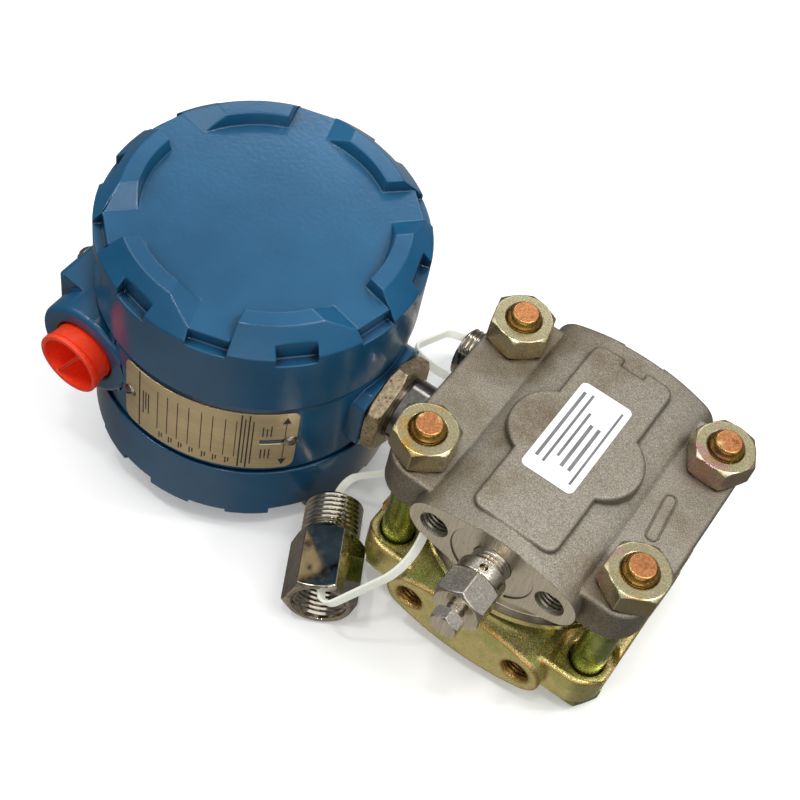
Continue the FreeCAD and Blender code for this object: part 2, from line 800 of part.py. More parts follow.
def ground_screw():
    head = round_head(ground_screw_head_radius, ground_screw_head_height)
    shank = Part.makeCylinder(ground_screw_radius, ground_screw_depth, Vector(0, 0, -ground_screw_depth))
    return aimed(head.fuse(shank), ground_seat(), Vector(-1, 0, 0))


def conduit_plug():
    """Moulded cup with a rim, a tapered body and one thin web across it."""
    stop = conduit_thread_radius - running_fit
    bottom = -plug_depth
    body = turned([
        (bottom, 0), (bottom, stop), (0, stop), (0, stop + seal_gap),
        (plug_stand_off - plug_rim_thickness, plug_body_radius),
        (plug_stand_off - plug_rim_thickness, plug_rim_radius), (plug_stand_off, plug_rim_radius),
        (plug_stand_off, plug_body_radius - plug_wall), (0, stop - plug_wall),
        (bottom + plug_wall, stop - plug_wall), (bottom + plug_wall, 0),
    ])
    half = plug_web / 2
    web = box(
        Vector(-half, plug_wall - plug_body_radius, bottom + plug_wall / 2),
        Vector(half, plug_body_radius - plug_wall, plug_stand_off - plug_rim_thickness))
    mid_floor = bottom + plug_wall / 2
    mid_wall = stop - plug_wall / 2
    cavity = turned([
        (mid_floor, 0), (mid_floor, mid_wall), (0, mid_wall),
        (plug_stand_off, plug_body_radius - plug_wall / 2), (plug_stand_off, 0),
    ])
    plug = body.fuse(spun(web.common(cavity), plug_web_turn)).removeSplitter()
    return aimed(plug, barrel + Vector(-hub_offset, -hub_face, 0), Vector(0, -1, 0))


# Compartments' contents

def spacer_places(height):
    turns = [360 / spacer_count * step + 90 for step in range(spacer_count)]
    return [barrel + outward(turn) * board_spacer_circle + up * height for turn in turns]


def board_height(index):
    return partition_top + board_spacing * (index + 1) + board_thickness * index


def circuit_board(index):
    low = board_height(index)
    board = cylinder(board_radius, barrel + up * low, barrel + up * (low + board_thickness))
    holes = [
        cylinder(board_screw_radius + seat_gap, place, place + up * board_thickness)
        for place in spacer_places(low)
    ]
    return board.cut(holes)


def board_spacers():
    spacers = []
    for index in range(board_count):
        top = board_height(index)
        for place in spacer_places(top - board_spacing):
            end = place + up * board_spacing
            tube = cylinder(board_spacer_radius, place, end)
            spacers.append(tube.cut(cylinder(board_screw_radius + seat_gap, place, end)))
    return spacers


def board_screws():
    top = board_height(board_count - 1) + board_thickness
    length = top - partition_top + board_screw_depth
    screws = []
    for place in spacer_places(top):
        shank = cylinder(board_screw_radius, place - up * length, place)
        head = cylinder(board_screw_head_radius, place, place + up * board_screw_head_height)
        screws.append(shank.fuse(head).removeSplitter())
    return screws


def terminal_places(height):
    first = -terminal_pitch * (terminal_count - 1) / 2
    row = (terminal_block_width - terminal_step) / 2 - terminal_block_width / 2
    return [barrel + Vector(row, first + terminal_pitch * step, height) for step in range(terminal_count)]


def terminal_block():
    """Stepped moulding under the partition, with a barrier ledge along its back."""
    top = partition_top - partition_thickness
    half_x = terminal_block_width / 2
    half_y = terminal_block_length / 2
    face = top - terminal_block_height
    body = box(barrel + Vector(-half_x, -half_y, face), barrel + Vector(half_x, half_y, top))
    ledge_low = barrel + Vector(half_x - terminal_step, -half_y, face - terminal_step)
    ledge = box(ledge_low, barrel + Vector(half_x, half_y, face))
    body = body.fuse(ledge).removeSplitter()
    holes = [
        cylinder(terminal_screw_radius + seat_gap, place, place + up * terminal_screw_depth)
        for place in terminal_places(face)
    ]
    return body.cut(holes)


def terminal_screws():
    face = partition_top - partition_thickness - terminal_block_height
    screws = []
    for place in terminal_places(face):
        shank = cylinder(terminal_screw_radius, place, place + up * terminal_screw_depth)
        head = cylinder(terminal_screw_head_radius, place - up * terminal_screw_head_height, place)
        screws.append(shank.fuse(head).removeSplitter())
    return screws


def pin_places():
    low = partition_top - partition_thickness
    turns = [360 / pin_count * step for step in range(pin_count)]
    start = barrel + Vector(terminal_block_width / 2 + pin_circle, 0, low)
    return [start + outward(turn) * pin_circle / 2 for turn in turns]


def feedthrough_pins():
    below = up * pin_length_below
    above = up * (partition_thickness + pin_length_above)
    return [cylinder(pin_radius, place - below, place + above) for place in pin_places()]


# Thread adapters and their ties

def thread_adapter(mouth, direction):
    """Hexagon with a threaded spigot; the mouth is its female end."""
    axis = Vector(direction).normalize()
    length = adapter_hex_length + adapter_thread_length
    start = mouth - axis * length
    spigot = turned([
        (0, 0), (0, adapter_thread_radius - adapter_thread_chamfer),
        (adapter_thread_chamfer, adapter_thread_radius),
        (adapter_thread_length, adapter_thread_radius), (adapter_thread_length, 0),
    ], start, axis)
    side = up.cross(axis).normalize()
    turn = math.radians(adapter_hex_turn)
    corner = side * math.cos(turn) + axis.cross(side) * math.sin(turn)
    shoulder = start + axis * adapter_thread_length
    body = chamfered_hexagon(adapter_across_flats, shoulder, mouth, corner, adapter_hex_chamfer)
    body = body.fuse(spigot)
    bore = turned([
        (0, 0), (0, adapter_bore_radius), (length - adapter_mouth_depth, adapter_bore_radius),
        (length - adapter_mouth_depth, adapter_mouth_radius), (length, adapter_mouth_radius), (length, 0),
    ], start, axis)
    return body.cut(bore).removeSplitter()


def rounded_loop(points, radii):
    """Closed wire of straight runs and tangent arcs."""
    count = len(points)
    arcs = []
    for index in range(count):
        point = points[index]
        back = (points[index - 1] - point).normalize()
        ahead = (points[(index + 1) % count] - point).normalize()
        half_turn = back.getAngle(ahead) / 2
        run = radii[index] / math.tan(half_turn)
        centre = point + (back + ahead).normalize() * (radii[index] / math.sin(half_turn))
        middle = centre + (point - centre).normalize() * radii[index]
        arcs.append((point + back * run, middle, point + ahead * run))
    edges = []
    for index in range(count):
        edges.append(Part.Arc(*arcs[index]).toShape())
        edges.append(Part.LineSegment(arcs[index][2], arcs[(index + 1) % count][0]).toShape())
    return Part.Wire(edges)


def cable_tie(mouth, direction, bolt, height, lift, reaches, rounds):
    """Flat strap, looped through the adapter's bore and round a bolt, in one slanting plane."""
    along = Vector(direction).normalize()
    bolt_point = bolt + up * height
    origin = mouth + lift
    normal = along.cross(bolt_point - origin).normalize()
    rise = normal.cross(along)
    slope = abs(normal.z)
    lean = math.sqrt(1 - slope ** 2) / slope
    bolt_reach = (bolt_radius + tie_bolt_gap) / slope + lean * tie_width / 2
    crest = (bolt_point - origin).dot(rise) + bolt_reach + tie_thickness / 2
    start = origin - normal * tie_width / 2

    def loop(offset):
        front, front_top, back_top, back = reaches
        corners = [
            (front + offset, -offset), (front_top + offset, crest + offset),
            (back_top - offset, crest + offset), (back - offset, -offset),
        ]
        points = [start + along * s + rise * t for s, t in corners]
        return rounded_loop(points, [radius + offset for radius in rounds])

    ring = Part.Face(loop(tie_thickness / 2)).cut(Part.Face(loop(-tie_thickness / 2)))
    return ring.extrude(normal * tie_width)


def flange_label():
    centre = Vector(label_shift_x, label_shift_y, pad_height + seat_gap)
    half = Vector(label_width / 2, label_length / 2, 0)
    return rounded_box(centre - half, centre + half + up * label_thickness, label_round)


os.makedirs("parts", exist_ok=True)

cover = screw_cover()
near_mouth = near_bolt + Vector(-near_mouth_side, -near_mouth_front, -near_mouth_drop)
rear_mouth = rear_bolt + Vector(rear_mouth_side, rear_mouth_back, -rear_mouth_drop)
diaphragm = isolating_diaphragm()
oring = process_oring()

export("electronics_housing", electronics_housing())
export("upper_cover", on_barrel(cover, upper_cover_turn))
export("lower_cover", on_barrel(cover, lower_cover_turn, True))
export("upper_cover_oring", on_barrel(cover_seal(), 0))
export("lower_cover_oring", on_barrel(cover_seal(), 0, True))
export("nameplate", nameplate())
export("nameplate_screws", *nameplate_screws())
export("ground_screw", ground_screw())
export("conduit_plug", conduit_plug())
export("neck_lock_nut", neck_lock_nut())
export("sensor_module", sensor_module())
export("isolating_diaphragms", diaphragm, flipped(diaphragm))
export("process_orings", oring, flipped(oring))
export("process_flange", process_flange())
export("blank_flange", blank_flange())
export("flange_bolts", *flange_bolts())
export("flange_nuts", *flange_nuts())
export("vent_valve_seat", vent_valve_seat())
export("vent_valve_screw", vent_valve_screw())
export("vent_ball", vent_ball())
export("flange_label", flange_label())
export("terminal_block", terminal_block())
export("terminal_screws", *terminal_screws())
export("amplifier_board", circuit_board(0))
export("calibration_board", circuit_board(1))
export("board_spacers", *board_spacers())
export("board_screws", *board_screws())
export("feedthrough_pins", *feedthrough_pins())
export("conduit_adapter", thread_adapter(near_mouth, near_adapter_direction))
export("rear_conduit_adapter", thread_adapter(rear_mouth, rear_adapter_direction))
export("cable_tie", cable_tie(
    near_mouth, near_adapter_direction, near_bolt, near_tie_height,
    Vector(0, 0, near_tie_lift), near_tie_reaches, near_tie_rounds))
export("rear_cable_tie", cable_tie(
    rear_mouth, rear_adapter_direction, rear_bolt, rear_tie_height,
    Vector(0, rear_tie_shift, rear_tie_lift), rear_tie_reaches, rear_tie_rounds))
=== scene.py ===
import bmesh
import bpy
import json
import math
from mathutils import Matrix, Vector


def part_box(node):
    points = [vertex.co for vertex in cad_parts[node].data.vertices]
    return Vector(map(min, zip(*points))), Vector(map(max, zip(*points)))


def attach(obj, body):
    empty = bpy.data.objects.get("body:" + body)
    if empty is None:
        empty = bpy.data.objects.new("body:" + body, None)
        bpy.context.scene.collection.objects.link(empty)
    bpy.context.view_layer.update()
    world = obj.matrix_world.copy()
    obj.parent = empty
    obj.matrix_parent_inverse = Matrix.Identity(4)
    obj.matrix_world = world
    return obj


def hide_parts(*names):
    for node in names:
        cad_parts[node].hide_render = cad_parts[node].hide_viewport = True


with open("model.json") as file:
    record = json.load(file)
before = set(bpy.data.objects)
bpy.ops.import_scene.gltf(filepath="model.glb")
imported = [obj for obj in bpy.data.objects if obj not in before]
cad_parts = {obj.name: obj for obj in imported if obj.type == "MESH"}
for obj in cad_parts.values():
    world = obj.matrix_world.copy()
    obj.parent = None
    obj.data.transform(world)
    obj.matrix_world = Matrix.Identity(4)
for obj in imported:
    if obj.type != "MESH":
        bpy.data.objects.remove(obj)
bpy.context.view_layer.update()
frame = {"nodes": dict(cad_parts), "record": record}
nodes = frame["nodes"]
mm = 0.001
weld = 0.002 * mm  # points closer than this are one
facing = 0.9  # least part of a normal along an axis, for a face that looks that way

bodyOf = {}
for bodyName, members in frame["record"]["behaviour"]["bodies"].items():
    for member in members:
        bodyOf[member] = bodyName
slotOf = {row["node"]: row["material_slot"] for row in frame["record"]["subparts"]}
root = bodyOf["electronics_housing"]
print("frame loaded,", len(nodes), "nodes")

coverLow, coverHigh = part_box("upper_cover")
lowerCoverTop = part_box("lower_cover")[1].z
barrelCentre = Vector((
    (coverLow.x + coverHigh.x) / 2, (coverLow.y + coverHigh.y) / 2, (coverLow.z + lowerCoverTop) / 2))
up, down = Vector((0, 0, 1)), Vector((0, 0, -1))
front, back = Vector((0, -1, 0)), Vector((0, 1, 0))
left = Vector((-1, 0, 0))


# Finishes

shading = {"samples": 6, "crevice": (0.3, 0.85), "edgeTint": (0.92, 0.995)}  # rays a point, then ramp ends
white = (255, 255, 255)
full = (1, 1, 1, 1)
none = (0, 0, 0, 1)


def shade(red, green, blue):
    # from display values to the linear ones that shaders take
    channels = []
    for value in (red, green, blue):
        share = value / 255
        channels.append(share / 12.92 if share <= 0.04045 else ((share + 0.055) / 1.055) ** 2.4)
    return (*channels, 1.0)


def newFinish(name, roughness, metallic):
    finish = bpy.data.materials.new(name)
    finish.use_nodes = True
    shader = finish.node_tree.nodes["Principled BSDF"]
    shader.inputs["Roughness"].default_value = roughness
    shader.inputs["Metallic"].default_value = metallic
    return finish, finish.node_tree, shader


def addPlace(tree, scale=(1, 1, 1)):
    coords = tree.nodes.new("ShaderNodeTexCoord")
    mapping = tree.nodes.new("ShaderNodeMapping")
    mapping.inputs["Scale"].default_value = scale
    tree.links.new(coords.outputs["Object"], mapping.inputs["Vector"])
    return mapping.outputs["Vector"]


def addNoise(tree, place, scale, detail=3, roughness=0.55):
    node = tree.nodes.new("ShaderNodeTexNoise")
    node.inputs["Scale"].default_value = scale
    node.inputs["Detail"].default_value = detail
    node.inputs["Roughness"].default_value = roughness
    tree.links.new(place, node.inputs["Vector"])
    return node.outputs["Fac"]


def addCells(tree, place, scale):
    node = tree.nodes.new("ShaderNodeTexVoronoi")
    node.inputs["Scale"].default_value = scale
    tree.links.new(place, node.inputs["Vector"])
    return node.outputs["Distance"]


def addRamp(tree, factor, stops):
    node = tree.nodes.new("ShaderNodeValToRGB")
    marks = node.color_ramp.elements
    marks[0].position, marks[0].color = stops[0]
    marks[1].position, marks[1].color = stops[-1]
    for place, colour in stops[1:-1]:
        marks.new(place).color = colour
    tree.links.new(factor, node.inputs["Fac"])
    return node.outputs["Color"]


def addTones(tree, factor, stops):
    return addRamp(tree, factor, [(place, shade(*tone)) for place, tone in stops])


def addRange(tree, factor, low, high, fromLow=0.3, fromHigh=0.7):
    node = tree.nodes.new("ShaderNodeMapRange")
    node.inputs["From Min"].default_value = fromLow
    node.inputs["From Max"].default_value = fromHigh
    node.inputs["To Min"].default_value = low
    node.inputs["To Max"].default_value = high
    tree.links.new(factor, node.inputs["Value"])
    return node.outputs["Result"]


def addMix(tree, factor, first, second, blend="MIX"):
    node = tree.nodes.new("ShaderNodeMix")
    node.data_type = "RGBA"
    node.blend_type = blend
    if isinstance(factor, float):
        node.inputs[0].default_value = factor
    else:
        tree.links.new(factor, node.inputs[0])
    for socket, value in ((node.inputs[6], first), (node.inputs[7], second)):
        if isinstance(value, tuple):
            socket.default_value = value
        else:
            tree.links.new(value, socket)
    return node.outputs[2]


def addMath(tree, operation, first, second):
    node = tree.nodes.new("ShaderNodeMath")
    node.operation = operation
    for socket, value in ((node.inputs[0], first), (node.inputs[1], second)):
        if isinstance(value, (int, float)):
            socket.default_value = value
        else:
            tree.links.new(value, socket)
    return node.outputs[0]


def addBlend(tree, first, second, share):
    # a weighted sum of two patterns
    firstPart = addMath(tree, "MULTIPLY", first, share)
    secondPart = addMath(tree, "MULTIPLY", second, 1 - share)
    return addMath(tree, "ADD", firstPart, secondPart)


def addBump(tree, shader, height, bump, under=None):
    strength, depth = bump
    node = tree.nodes.new("ShaderNodeBump")
    node.inputs["Strength"].default_value = strength
    node.inputs["Distance"].default_value = depth * mm
    tree.links.new(height, node.inputs["Height"])
    if under is not None:
        tree.links.new(under, node.inputs["Normal"])
    tree.links.new(node.outputs["Normal"], shader.inputs["Normal"])
    return node.outputs["Normal"]


def addSoftEdge(tree, radius):
    node = tree.nodes.new("ShaderNodeBevel")
    node.samples = shading["samples"]
    node.inputs["Radius"].default_value = radius * mm
    return node.outputs["Normal"]


def addCreviceShadeAndDirt(tree, colour, look):
    # painted shade: darker where another face stands close by, as under the covers' rims; on the cast flange
    # it also stands for stains round the pad's root
    node = tree.nodes.new("ShaderNodeAmbientOcclusion")
    node.samples = shading["samples"]
    node.inputs["Distance"].default_value = look["seam"] * mm
    shut, clear = shading["crevice"]
    creviceShadeAndDirt = addTones(tree, node.outputs["AO"], ((shut, look["seamShade"]), (clear, white)))
    return addMix(tree, 1.0, colour, creviceShadeAndDirt, "MULTIPLY")


def addEdgeTint(tree, colour, radius, tint):
    # mixes a tint in where the rounded normal leaves the true one
    soft = addSoftEdge(tree, radius)
    true = tree.nodes.new("ShaderNodeNewGeometry")
    dot = tree.nodes.new("ShaderNodeVectorMath")
    dot.operation = "DOT_PRODUCT"
    tree.links.new(soft, dot.inputs[0])
    tree.links.new(true.outputs["True Normal"], dot.inputs[1])
    worn, whole = shading["edgeTint"]
    mask = addRamp(tree, dot.outputs["Value"], [(worn, full), (whole, none)])
    return addMix(tree, mask, colour, tint), soft


def setSurface(tree, shader, colour, grain, look):
    tree.links.new(colour, shader.inputs["Base Color"])
    tree.links.new(addRange(tree, grain, *look["rough"]), shader.inputs["Roughness"])


# In each look, patterns are in features a metre and a bump is its strength and its depth in millimetres.

paintLook = {
    "tones": ((0.3, (18, 75, 109)), (0.7, (34, 93, 130))), "cloud": 22, "peel": 620, "grain": 2600,
    "rough": (0.14, 0.22), "gloss": 0.45, "edge": 0.7, "seam": 8.0, "seamShade": (30, 36, 60),
    "peelBump": (0.35, 0.12), "grainBump": (0.25, 0.04),
}


def makeBluePaint(look):
    finish, tree, shader = newFinish("bluePaint", look["rough"][0], 0.0)
    place = addPlace(tree)
    cloud = addNoise(tree, place, look["cloud"], 4)
    peel = addNoise(tree, place, look["peel"], 2)
    grain = addNoise(tree, place, look["grain"], 3, 0.7)
    # painted shade: the paint's colour is darkened in crevices and under the covers' rims
    colour = addCreviceShadeAndDirt(tree, addTones(tree, cloud, look["tones"]), look)
    setSurface(tree, shader, colour, grain, look)
    shader.inputs["Specular IOR Level"].default_value = look["gloss"]
    low = addBump(tree, shader, peel, look["peelBump"], addSoftEdge(tree, look["edge"]))
    addBump(tree, shader, grain, look["grainBump"], low)
    return finish


castLook = {
    "tones": ((0.28, (100, 97, 90)), (0.48, (138, 133, 124)), (0.74, (192, 186, 175))),
    "stains": ((0.32, (206, 192, 170)), (0.5, (244, 239, 230)), (0.7, (255, 252, 246))),
    "speck": 2300, "lump": 420, "stain": 45, "rough": (0.6, 0.34), "metal": 0.75,
    "edge": 1.5, "seam": 3.0, "seamShade": (140, 128, 112),
    "lumpBump": (0.5, 0.35), "speckBump": (0.6, 0.18),
}


def makeCastStainless(look):
    finish, tree, shader = newFinish("castStainless", look["rough"][0], look["metal"])
    place = addPlace(tree)
    speck = addNoise(tree, place, look["speck"], 4, 0.75)
    lump = addNoise(tree, place, look["lump"], 3)
    stain = addNoise(tree, place, look["stain"], 3)
    tint = addTones(tree, stain, look["stains"])
    tinted = addMix(tree, 1.0, addTones(tree, speck, look["tones"]), tint, "MULTIPLY")
    # painted shade in the flange's crevices, which also stands for stains round the pad's root
    setSurface(tree, shader, addCreviceShadeAndDirt(tree, tinted, look), speck, look)
    low = addBump(tree, shader, lump, look["lumpBump"], addSoftEdge(tree, look["edge"]))
    addBump(tree, shader, speck, look["speckBump"], low)
    return finish


machinedLook = {
    "tones": ((0.3, (206, 198, 182)), (0.7, (238, 230, 214))),
    "dots": ((0.05, (120, 108, 94)), (0.12, white)),
    "line": 2600, "stretch": (1, 1, 0.03), "pit": 420, "rough": (0.22, 0.36), "metal": 0.9,
    "lineBump": (0.2, 0.03),
}


def makeMachinedFace(look):
    finish, tree, shader = newFinish("machinedFace", look["rough"][0], look["metal"])
    line = addNoise(tree, addPlace(tree, look["stretch"]), look["line"], 3)
    dots = addTones(tree, addCells(tree, addPlace(tree), look["pit"]), look["dots"])
    colour = addMix(tree, 1.0, addTones(tree, line, look["tones"]), dots, "MULTIPLY")
    setSurface(tree, shader, colour, line, look)
    addBump(tree, shader, line, look["lineBump"])
    return finish


zincLook = {
    "olive": (226, 214, 124), "gold": (255, 240, 172), "green": (220, 224, 148), "copper": (212, 146, 98),
    "rose": (190, 152, 146), "pale": (182, 174, 140), "brown": (150, 108, 58), "moss": (130, 148, 68),
    "fern": (170, 184, 108), "amber": (196, 160, 84), "worn": (214, 130, 74),
    "patch": 38, "patchShare": 0.6, "swirl": 130, "grain": 1500, "rough": (0.18, 0.36), "metal": 0.9,
    "bump": 0.45,
}
zincFinishes = {
    "yellow_zinc": {
        "name": "yellowZinc", "depth": 0.08, "dust": (205, 198, 170), "metal": 0.85, "edge": 2.2,
        "stops": ((0.34, "olive"), (0.45, "green"), (0.53, "gold"), (0.62, "green"), (0.7, "olive"))},
    "zinc_nut": {
        "name": "zincNut", "depth": 0.02, "dust": (236, 232, 220),
        "stops": ((0.36, "amber"), (0.45, "pale"), (0.54, "pale"), (0.6, "rose"), (0.68, "amber"))},
    "zinc_bolt": {
        "name": "zincBolt", "depth": 0.03, "dust": (226, 220, 200),
        "stops": ((0.36, "moss"), (0.48, "fern"), (0.56, "moss"), (0.66, "amber"))},
    "zinc_thread": {
        "name": "zincThread", "depth": 0.03, "dust": (176, 160, 140),
        "stops": ((0.36, "brown"), (0.5, "amber"), (0.58, "brown"), (0.68, "pale"))},
    "copper_end": {
        "name": "copperEnd", "depth": 0.06, "dust": (220, 204, 184), "patch": 150, "swirl": 620,
        "stops": ((0.36, "brown"), (0.46, "copper"), (0.56, "copper"), (0.64, "gold"))},
}


def makeZinc(look):
    finish, tree, shader = newFinish(look["name"], look["rough"][0], look["metal"])
    place = addPlace(tree)
    patch = addNoise(tree, place, look["patch"], 3)
    swirl = addNoise(tree, place, look["swirl"], 4, 0.7)
    grain = addNoise(tree, place, look["grain"], 4, 0.7)
    mixed = addBlend(tree, patch, swirl, look["patchShare"])
    colour = addTones(tree, mixed, [(mark, look[tone]) for mark, tone in look["stops"]])
    soft = None
    if "edge" in look:
        worn = addTones(tree, swirl, ((0.5, look["worn"]), (0.7, look["gold"])))
        colour, soft = addEdgeTint(tree, colour, look["edge"], worn)
    dust = addTones(tree, grain, ((0.3, look["dust"]), (0.65, white)))
    setSurface(tree, shader, addMix(tree, 1.0, colour, dust, "MULTIPLY"), grain, look)
    addBump(tree, shader, grain, (look["bump"], look["depth"]), soft)
    return finish


steelLook = {"stretch": (1, 1, 1), "metal": 1.0, "bump": (0.18, 0.03), "lineShare": 0.5}
barSteel = {
    "dark": (182, 174, 160), "bright": (242, 234, 218), "line": 1800, "stain": 60, "rough": (0.12, 0.28),
}
steelFinishes = {
    "stainless": {"name": "stainless", "stretch": (1, 1, 0.05), **barSteel},
    "turned_steel": {"name": "turnedSteel", "stretch": (0.05, 0.05, 1), **barSteel},
    "plate_steel": {
        "name": "plateSteel", "dark": (196, 176, 136), "bright": (232, 212, 168), "line": 2200, "stain": 70,
        "rough": (0.3, 0.46), "stretch": (0.03, 0.03, 1), "metal": 0.7},
    "dark_nickel": {
        "name": "darkNickel", "dark": (154, 147, 136), "bright": (216, 208, 192), "line": 500, "stain": 90,
        "rough": (0.06, 0.16)},
    # painted shade: a darker copy of the sensor body's steel, for its neck beside the lock nut
    "shaded_neck_steel": {
        "name": "shadedNeckSteel", "dark": (84, 82, 80), "bright": (150, 146, 140), "line": 500, "stain": 90,
        "rough": (0.08, 0.2)},
    "screw_steel": {
        "name": "screwSteel", "dark": (120, 112, 98), "bright": (198, 188, 170), "line": 1500, "stain": 220,
        "rough": (0.2, 0.4)},
    "brass_screw": {
        "name": "brassScrew", "dark": (150, 118, 58), "bright": (214, 184, 112), "line": 1500, "stain": 220,
        "rough": (0.2, 0.36)},
}


def makeSteel(look):
    finish, tree, shader = newFinish(look["name"], look["rough"][0], look["metal"])
    line = addNoise(tree, addPlace(tree, look["stretch"]), look["line"], 3)
    stain = addNoise(tree, addPlace(tree), look["stain"], 4)
    mixed = addBlend(tree, line, stain, look["lineShare"])
    colour = addTones(tree, mixed, ((0.32, look["dark"]), (0.68, look["bright"])))
    setSurface(tree, shader, colour, line, look)
    addBump(tree, shader, line, look["bump"])
    return finish


nutLook = {
    "tones": ((0.3, (128, 110, 84)), (0.5, (180, 161, 130)), (0.72, (218, 201, 170))), "pit": (98, 66, 38),
    "pitEdge": (0.12, 0.24), "speck": 700, "spot": 520, "rough": (0.28, 0.5), "metal": 0.9,
    "bump": (0.35, 0.1),
}


def makeWornSteel(look):
    finish, tree, shader = newFinish("wornSteel", look["rough"][0], look["metal"])
    place = addPlace(tree)
    speck = addNoise(tree, place, look["speck"], 4, 0.7)
    inside, outside = look["pitEdge"]
    pits = addRamp(tree, addCells(tree, place, look["spot"]), [(inside, full), (outside, none)])
    colour = addMix(tree, pits, addTones(tree, speck, look["tones"]), shade(*look["pit"]))
    setSurface(tree, shader, colour, speck, look)
    addBump(tree, shader, speck, look["bump"])
    return finish


mouldLook = {"grainShare": 0.4, "cloudShare": 1 / 20, "bump": 0.3}
thinWall = {"weight": 0.25, "radius": (0.0012, 0.0008, 0.0006)}  # light goes a little way in
# glow is a painted glow: emission that brightens the red plug and the nylon tie
mouldFinishes = {
    "red_plastic": {
        "name": "redPlastic", "low": (236, 38, 12), "high": (255, 84, 42), "rough": (0.3, 0.44),
        "grain": 900, "depth": 0.04, "glow": (255, 50, 14), "glowStrength": 0.05},
    "black_rubber": {
        "name": "blackRubber", "low": (14, 14, 15), "high": (30, 30, 31), "rough": (0.5, 0.7),
        "grain": 1600, "depth": 0.05},
    "white_seal": {
        "name": "whiteSeal", "low": (214, 210, 198), "high": (236, 233, 224), "rough": (0.35, 0.5),
        "grain": 700, "depth": 0.04},
    "black_moulding": {
        "name": "blackMoulding", "low": (18, 18, 20), "high": (36, 36, 38), "rough": (0.35, 0.55),
        "grain": 2200, "depth": 0.05},
    "white_paper": {
        "name": "whitePaper", "low": (232, 232, 230), "high": (250, 250, 248), "rough": (0.45, 0.6),
        "grain": 1800, "depth": 0.02},
    "natural_nylon": {
        "name": "naturalNylon", "low": (224, 228, 214), "high": (246, 247, 238), "rough": (0.28, 0.4),
        "grain": 600, "depth": 0.04, "glow": (236, 238, 224), "glowStrength": 0.3},
    "print_ink": {
        "name": "printInk", "low": (30, 27, 22), "high": (58, 52, 42), "rough": (0.4, 0.6),
        "grain": 2400, "depth": 0.01},
    "pale_ink": {
        "name": "paleInk", "low": (92, 92, 94), "high": (124, 124, 126), "rough": (0.5, 0.6),
        "grain": 2400, "depth": 0.01},
}


def makeMoulded(look):
    finish, tree, shader = newFinish(look["name"], look["rough"][0], 0.0)
    place = addPlace(tree)
    grain = addNoise(tree, place, look["grain"], 3, 0.6)
    cloud = addNoise(tree, place, look["grain"] * look["cloudShare"], 3)
    mixed = addBlend(tree, grain, cloud, look["grainShare"])
    colour = addTones(tree, mixed, ((0.35, look["low"]), (0.65, look["high"])))
    setSurface(tree, shader, colour, grain, look)
    addBump(tree, shader, grain, (look["bump"], look["depth"]))
    if "glow" in look:  # light goes into a thin wall, and through it; the emission on top is a painted glow
        shader.inputs["Subsurface Weight"].default_value = thinWall["weight"]
        shader.inputs["Subsurface Radius"].default_value = thinWall["radius"]
        shader.inputs["Emission Color"].default_value = shade(*look["glow"])
        shader.inputs["Emission Strength"].default_value = look["glowStrength"]
    return finish


boardLook = {
    "mask": (12, 74, 40), "track": (34, 112, 66), "pad": (196, 170, 96), "pitch": 420, "padPitch": 260,
    "trackWidth": 0.05, "padEdge": (0.12, 0.14), "rough": 0.35, "bump": (0.2, 0.03),
}


def makeGreenBoard(look):
    finish, tree, shader = newFinish("greenBoard", look["rough"], 0.0)
    place = addPlace(tree)
    brick = tree.nodes.new("ShaderNodeTexBrick")
    brick.inputs["Scale"].default_value = look["pitch"]
    brick.inputs["Color1"].default_value = shade(*look["mask"])
    brick.inputs["Color2"].default_value = shade(*look["mask"])
    brick.inputs["Mortar"].default_value = shade(*look["track"])
    brick.inputs["Mortar Size"].default_value = look["trackWidth"]
    tree.links.new(place, brick.inputs["Vector"])
    inside, outside = look["padEdge"]
    pads = addRamp(tree, addCells(tree, place, look["padPitch"]), [(inside, full), (outside, none)])
    colour = addMix(tree, pads, brick.outputs["Color"], shade(*look["pad"]))
    tree.links.new(colour, shader.inputs["Base Color"])
    addBump(tree, shader, brick.outputs["Fac"], look["bump"])
    return finish


finishes = {
    "blue_paint": makeBluePaint(paintLook),
    "cast_stainless": makeCastStainless(castLook),
    "machined": makeMachinedFace(machinedLook),
    "worn_steel": makeWornSteel(nutLook),
    "green_board": makeGreenBoard(boardLook),
}
for finishName, look in zincFinishes.items():
    finishes[finishName] = makeZinc({**zincLook, **look})
for finishName, look in steelFinishes.items():
    finishes[finishName] = makeSteel({**steelLook, **look})
for finishName, look in mouldFinishes.items():
    finishes[finishName] = makeMoulded({**mouldLook, **look})
print("finishes made:", len(finishes))


# Dressing: a merged copy of a solid, its sharp edges rounded

def focus(piece):
    bpy.ops.object.select_all(action="DESELECT")
    piece.select_set(True)
    bpy.context.view_layer.objects.active = piece


def applyModifier(piece, kind, **settings):
    focus(piece)
    modifier = piece.modifiers.new(kind.title(), kind)
    for key, value in settings.items():
        setattr(modifier, key, value)
    bpy.ops.object.modifier_apply(modifier=modifier.name)


def mergedCopy(nodeName, pieceName, flat=0.4):
    piece = bpy.data.objects.new(pieceName, nodes[nodeName].data.copy())
    bpy.context.scene.collection.objects.link(piece)
    focus(piece)
    bpy.ops.mesh.customdata_custom_splitnormals_clear()
    bpy.ops.object.mode_set(mode="EDIT")
    bpy.ops.mesh.select_mode(type="VERT")
    bpy.ops.mesh.select_all(action="SELECT")
    bpy.ops.mesh.remove_doubles(threshold=weld)
    bpy.ops.mesh.dissolve_limited(angle_limit=math.radians(flat))
    bpy.ops.object.mode_set(mode="OBJECT")
    return piece


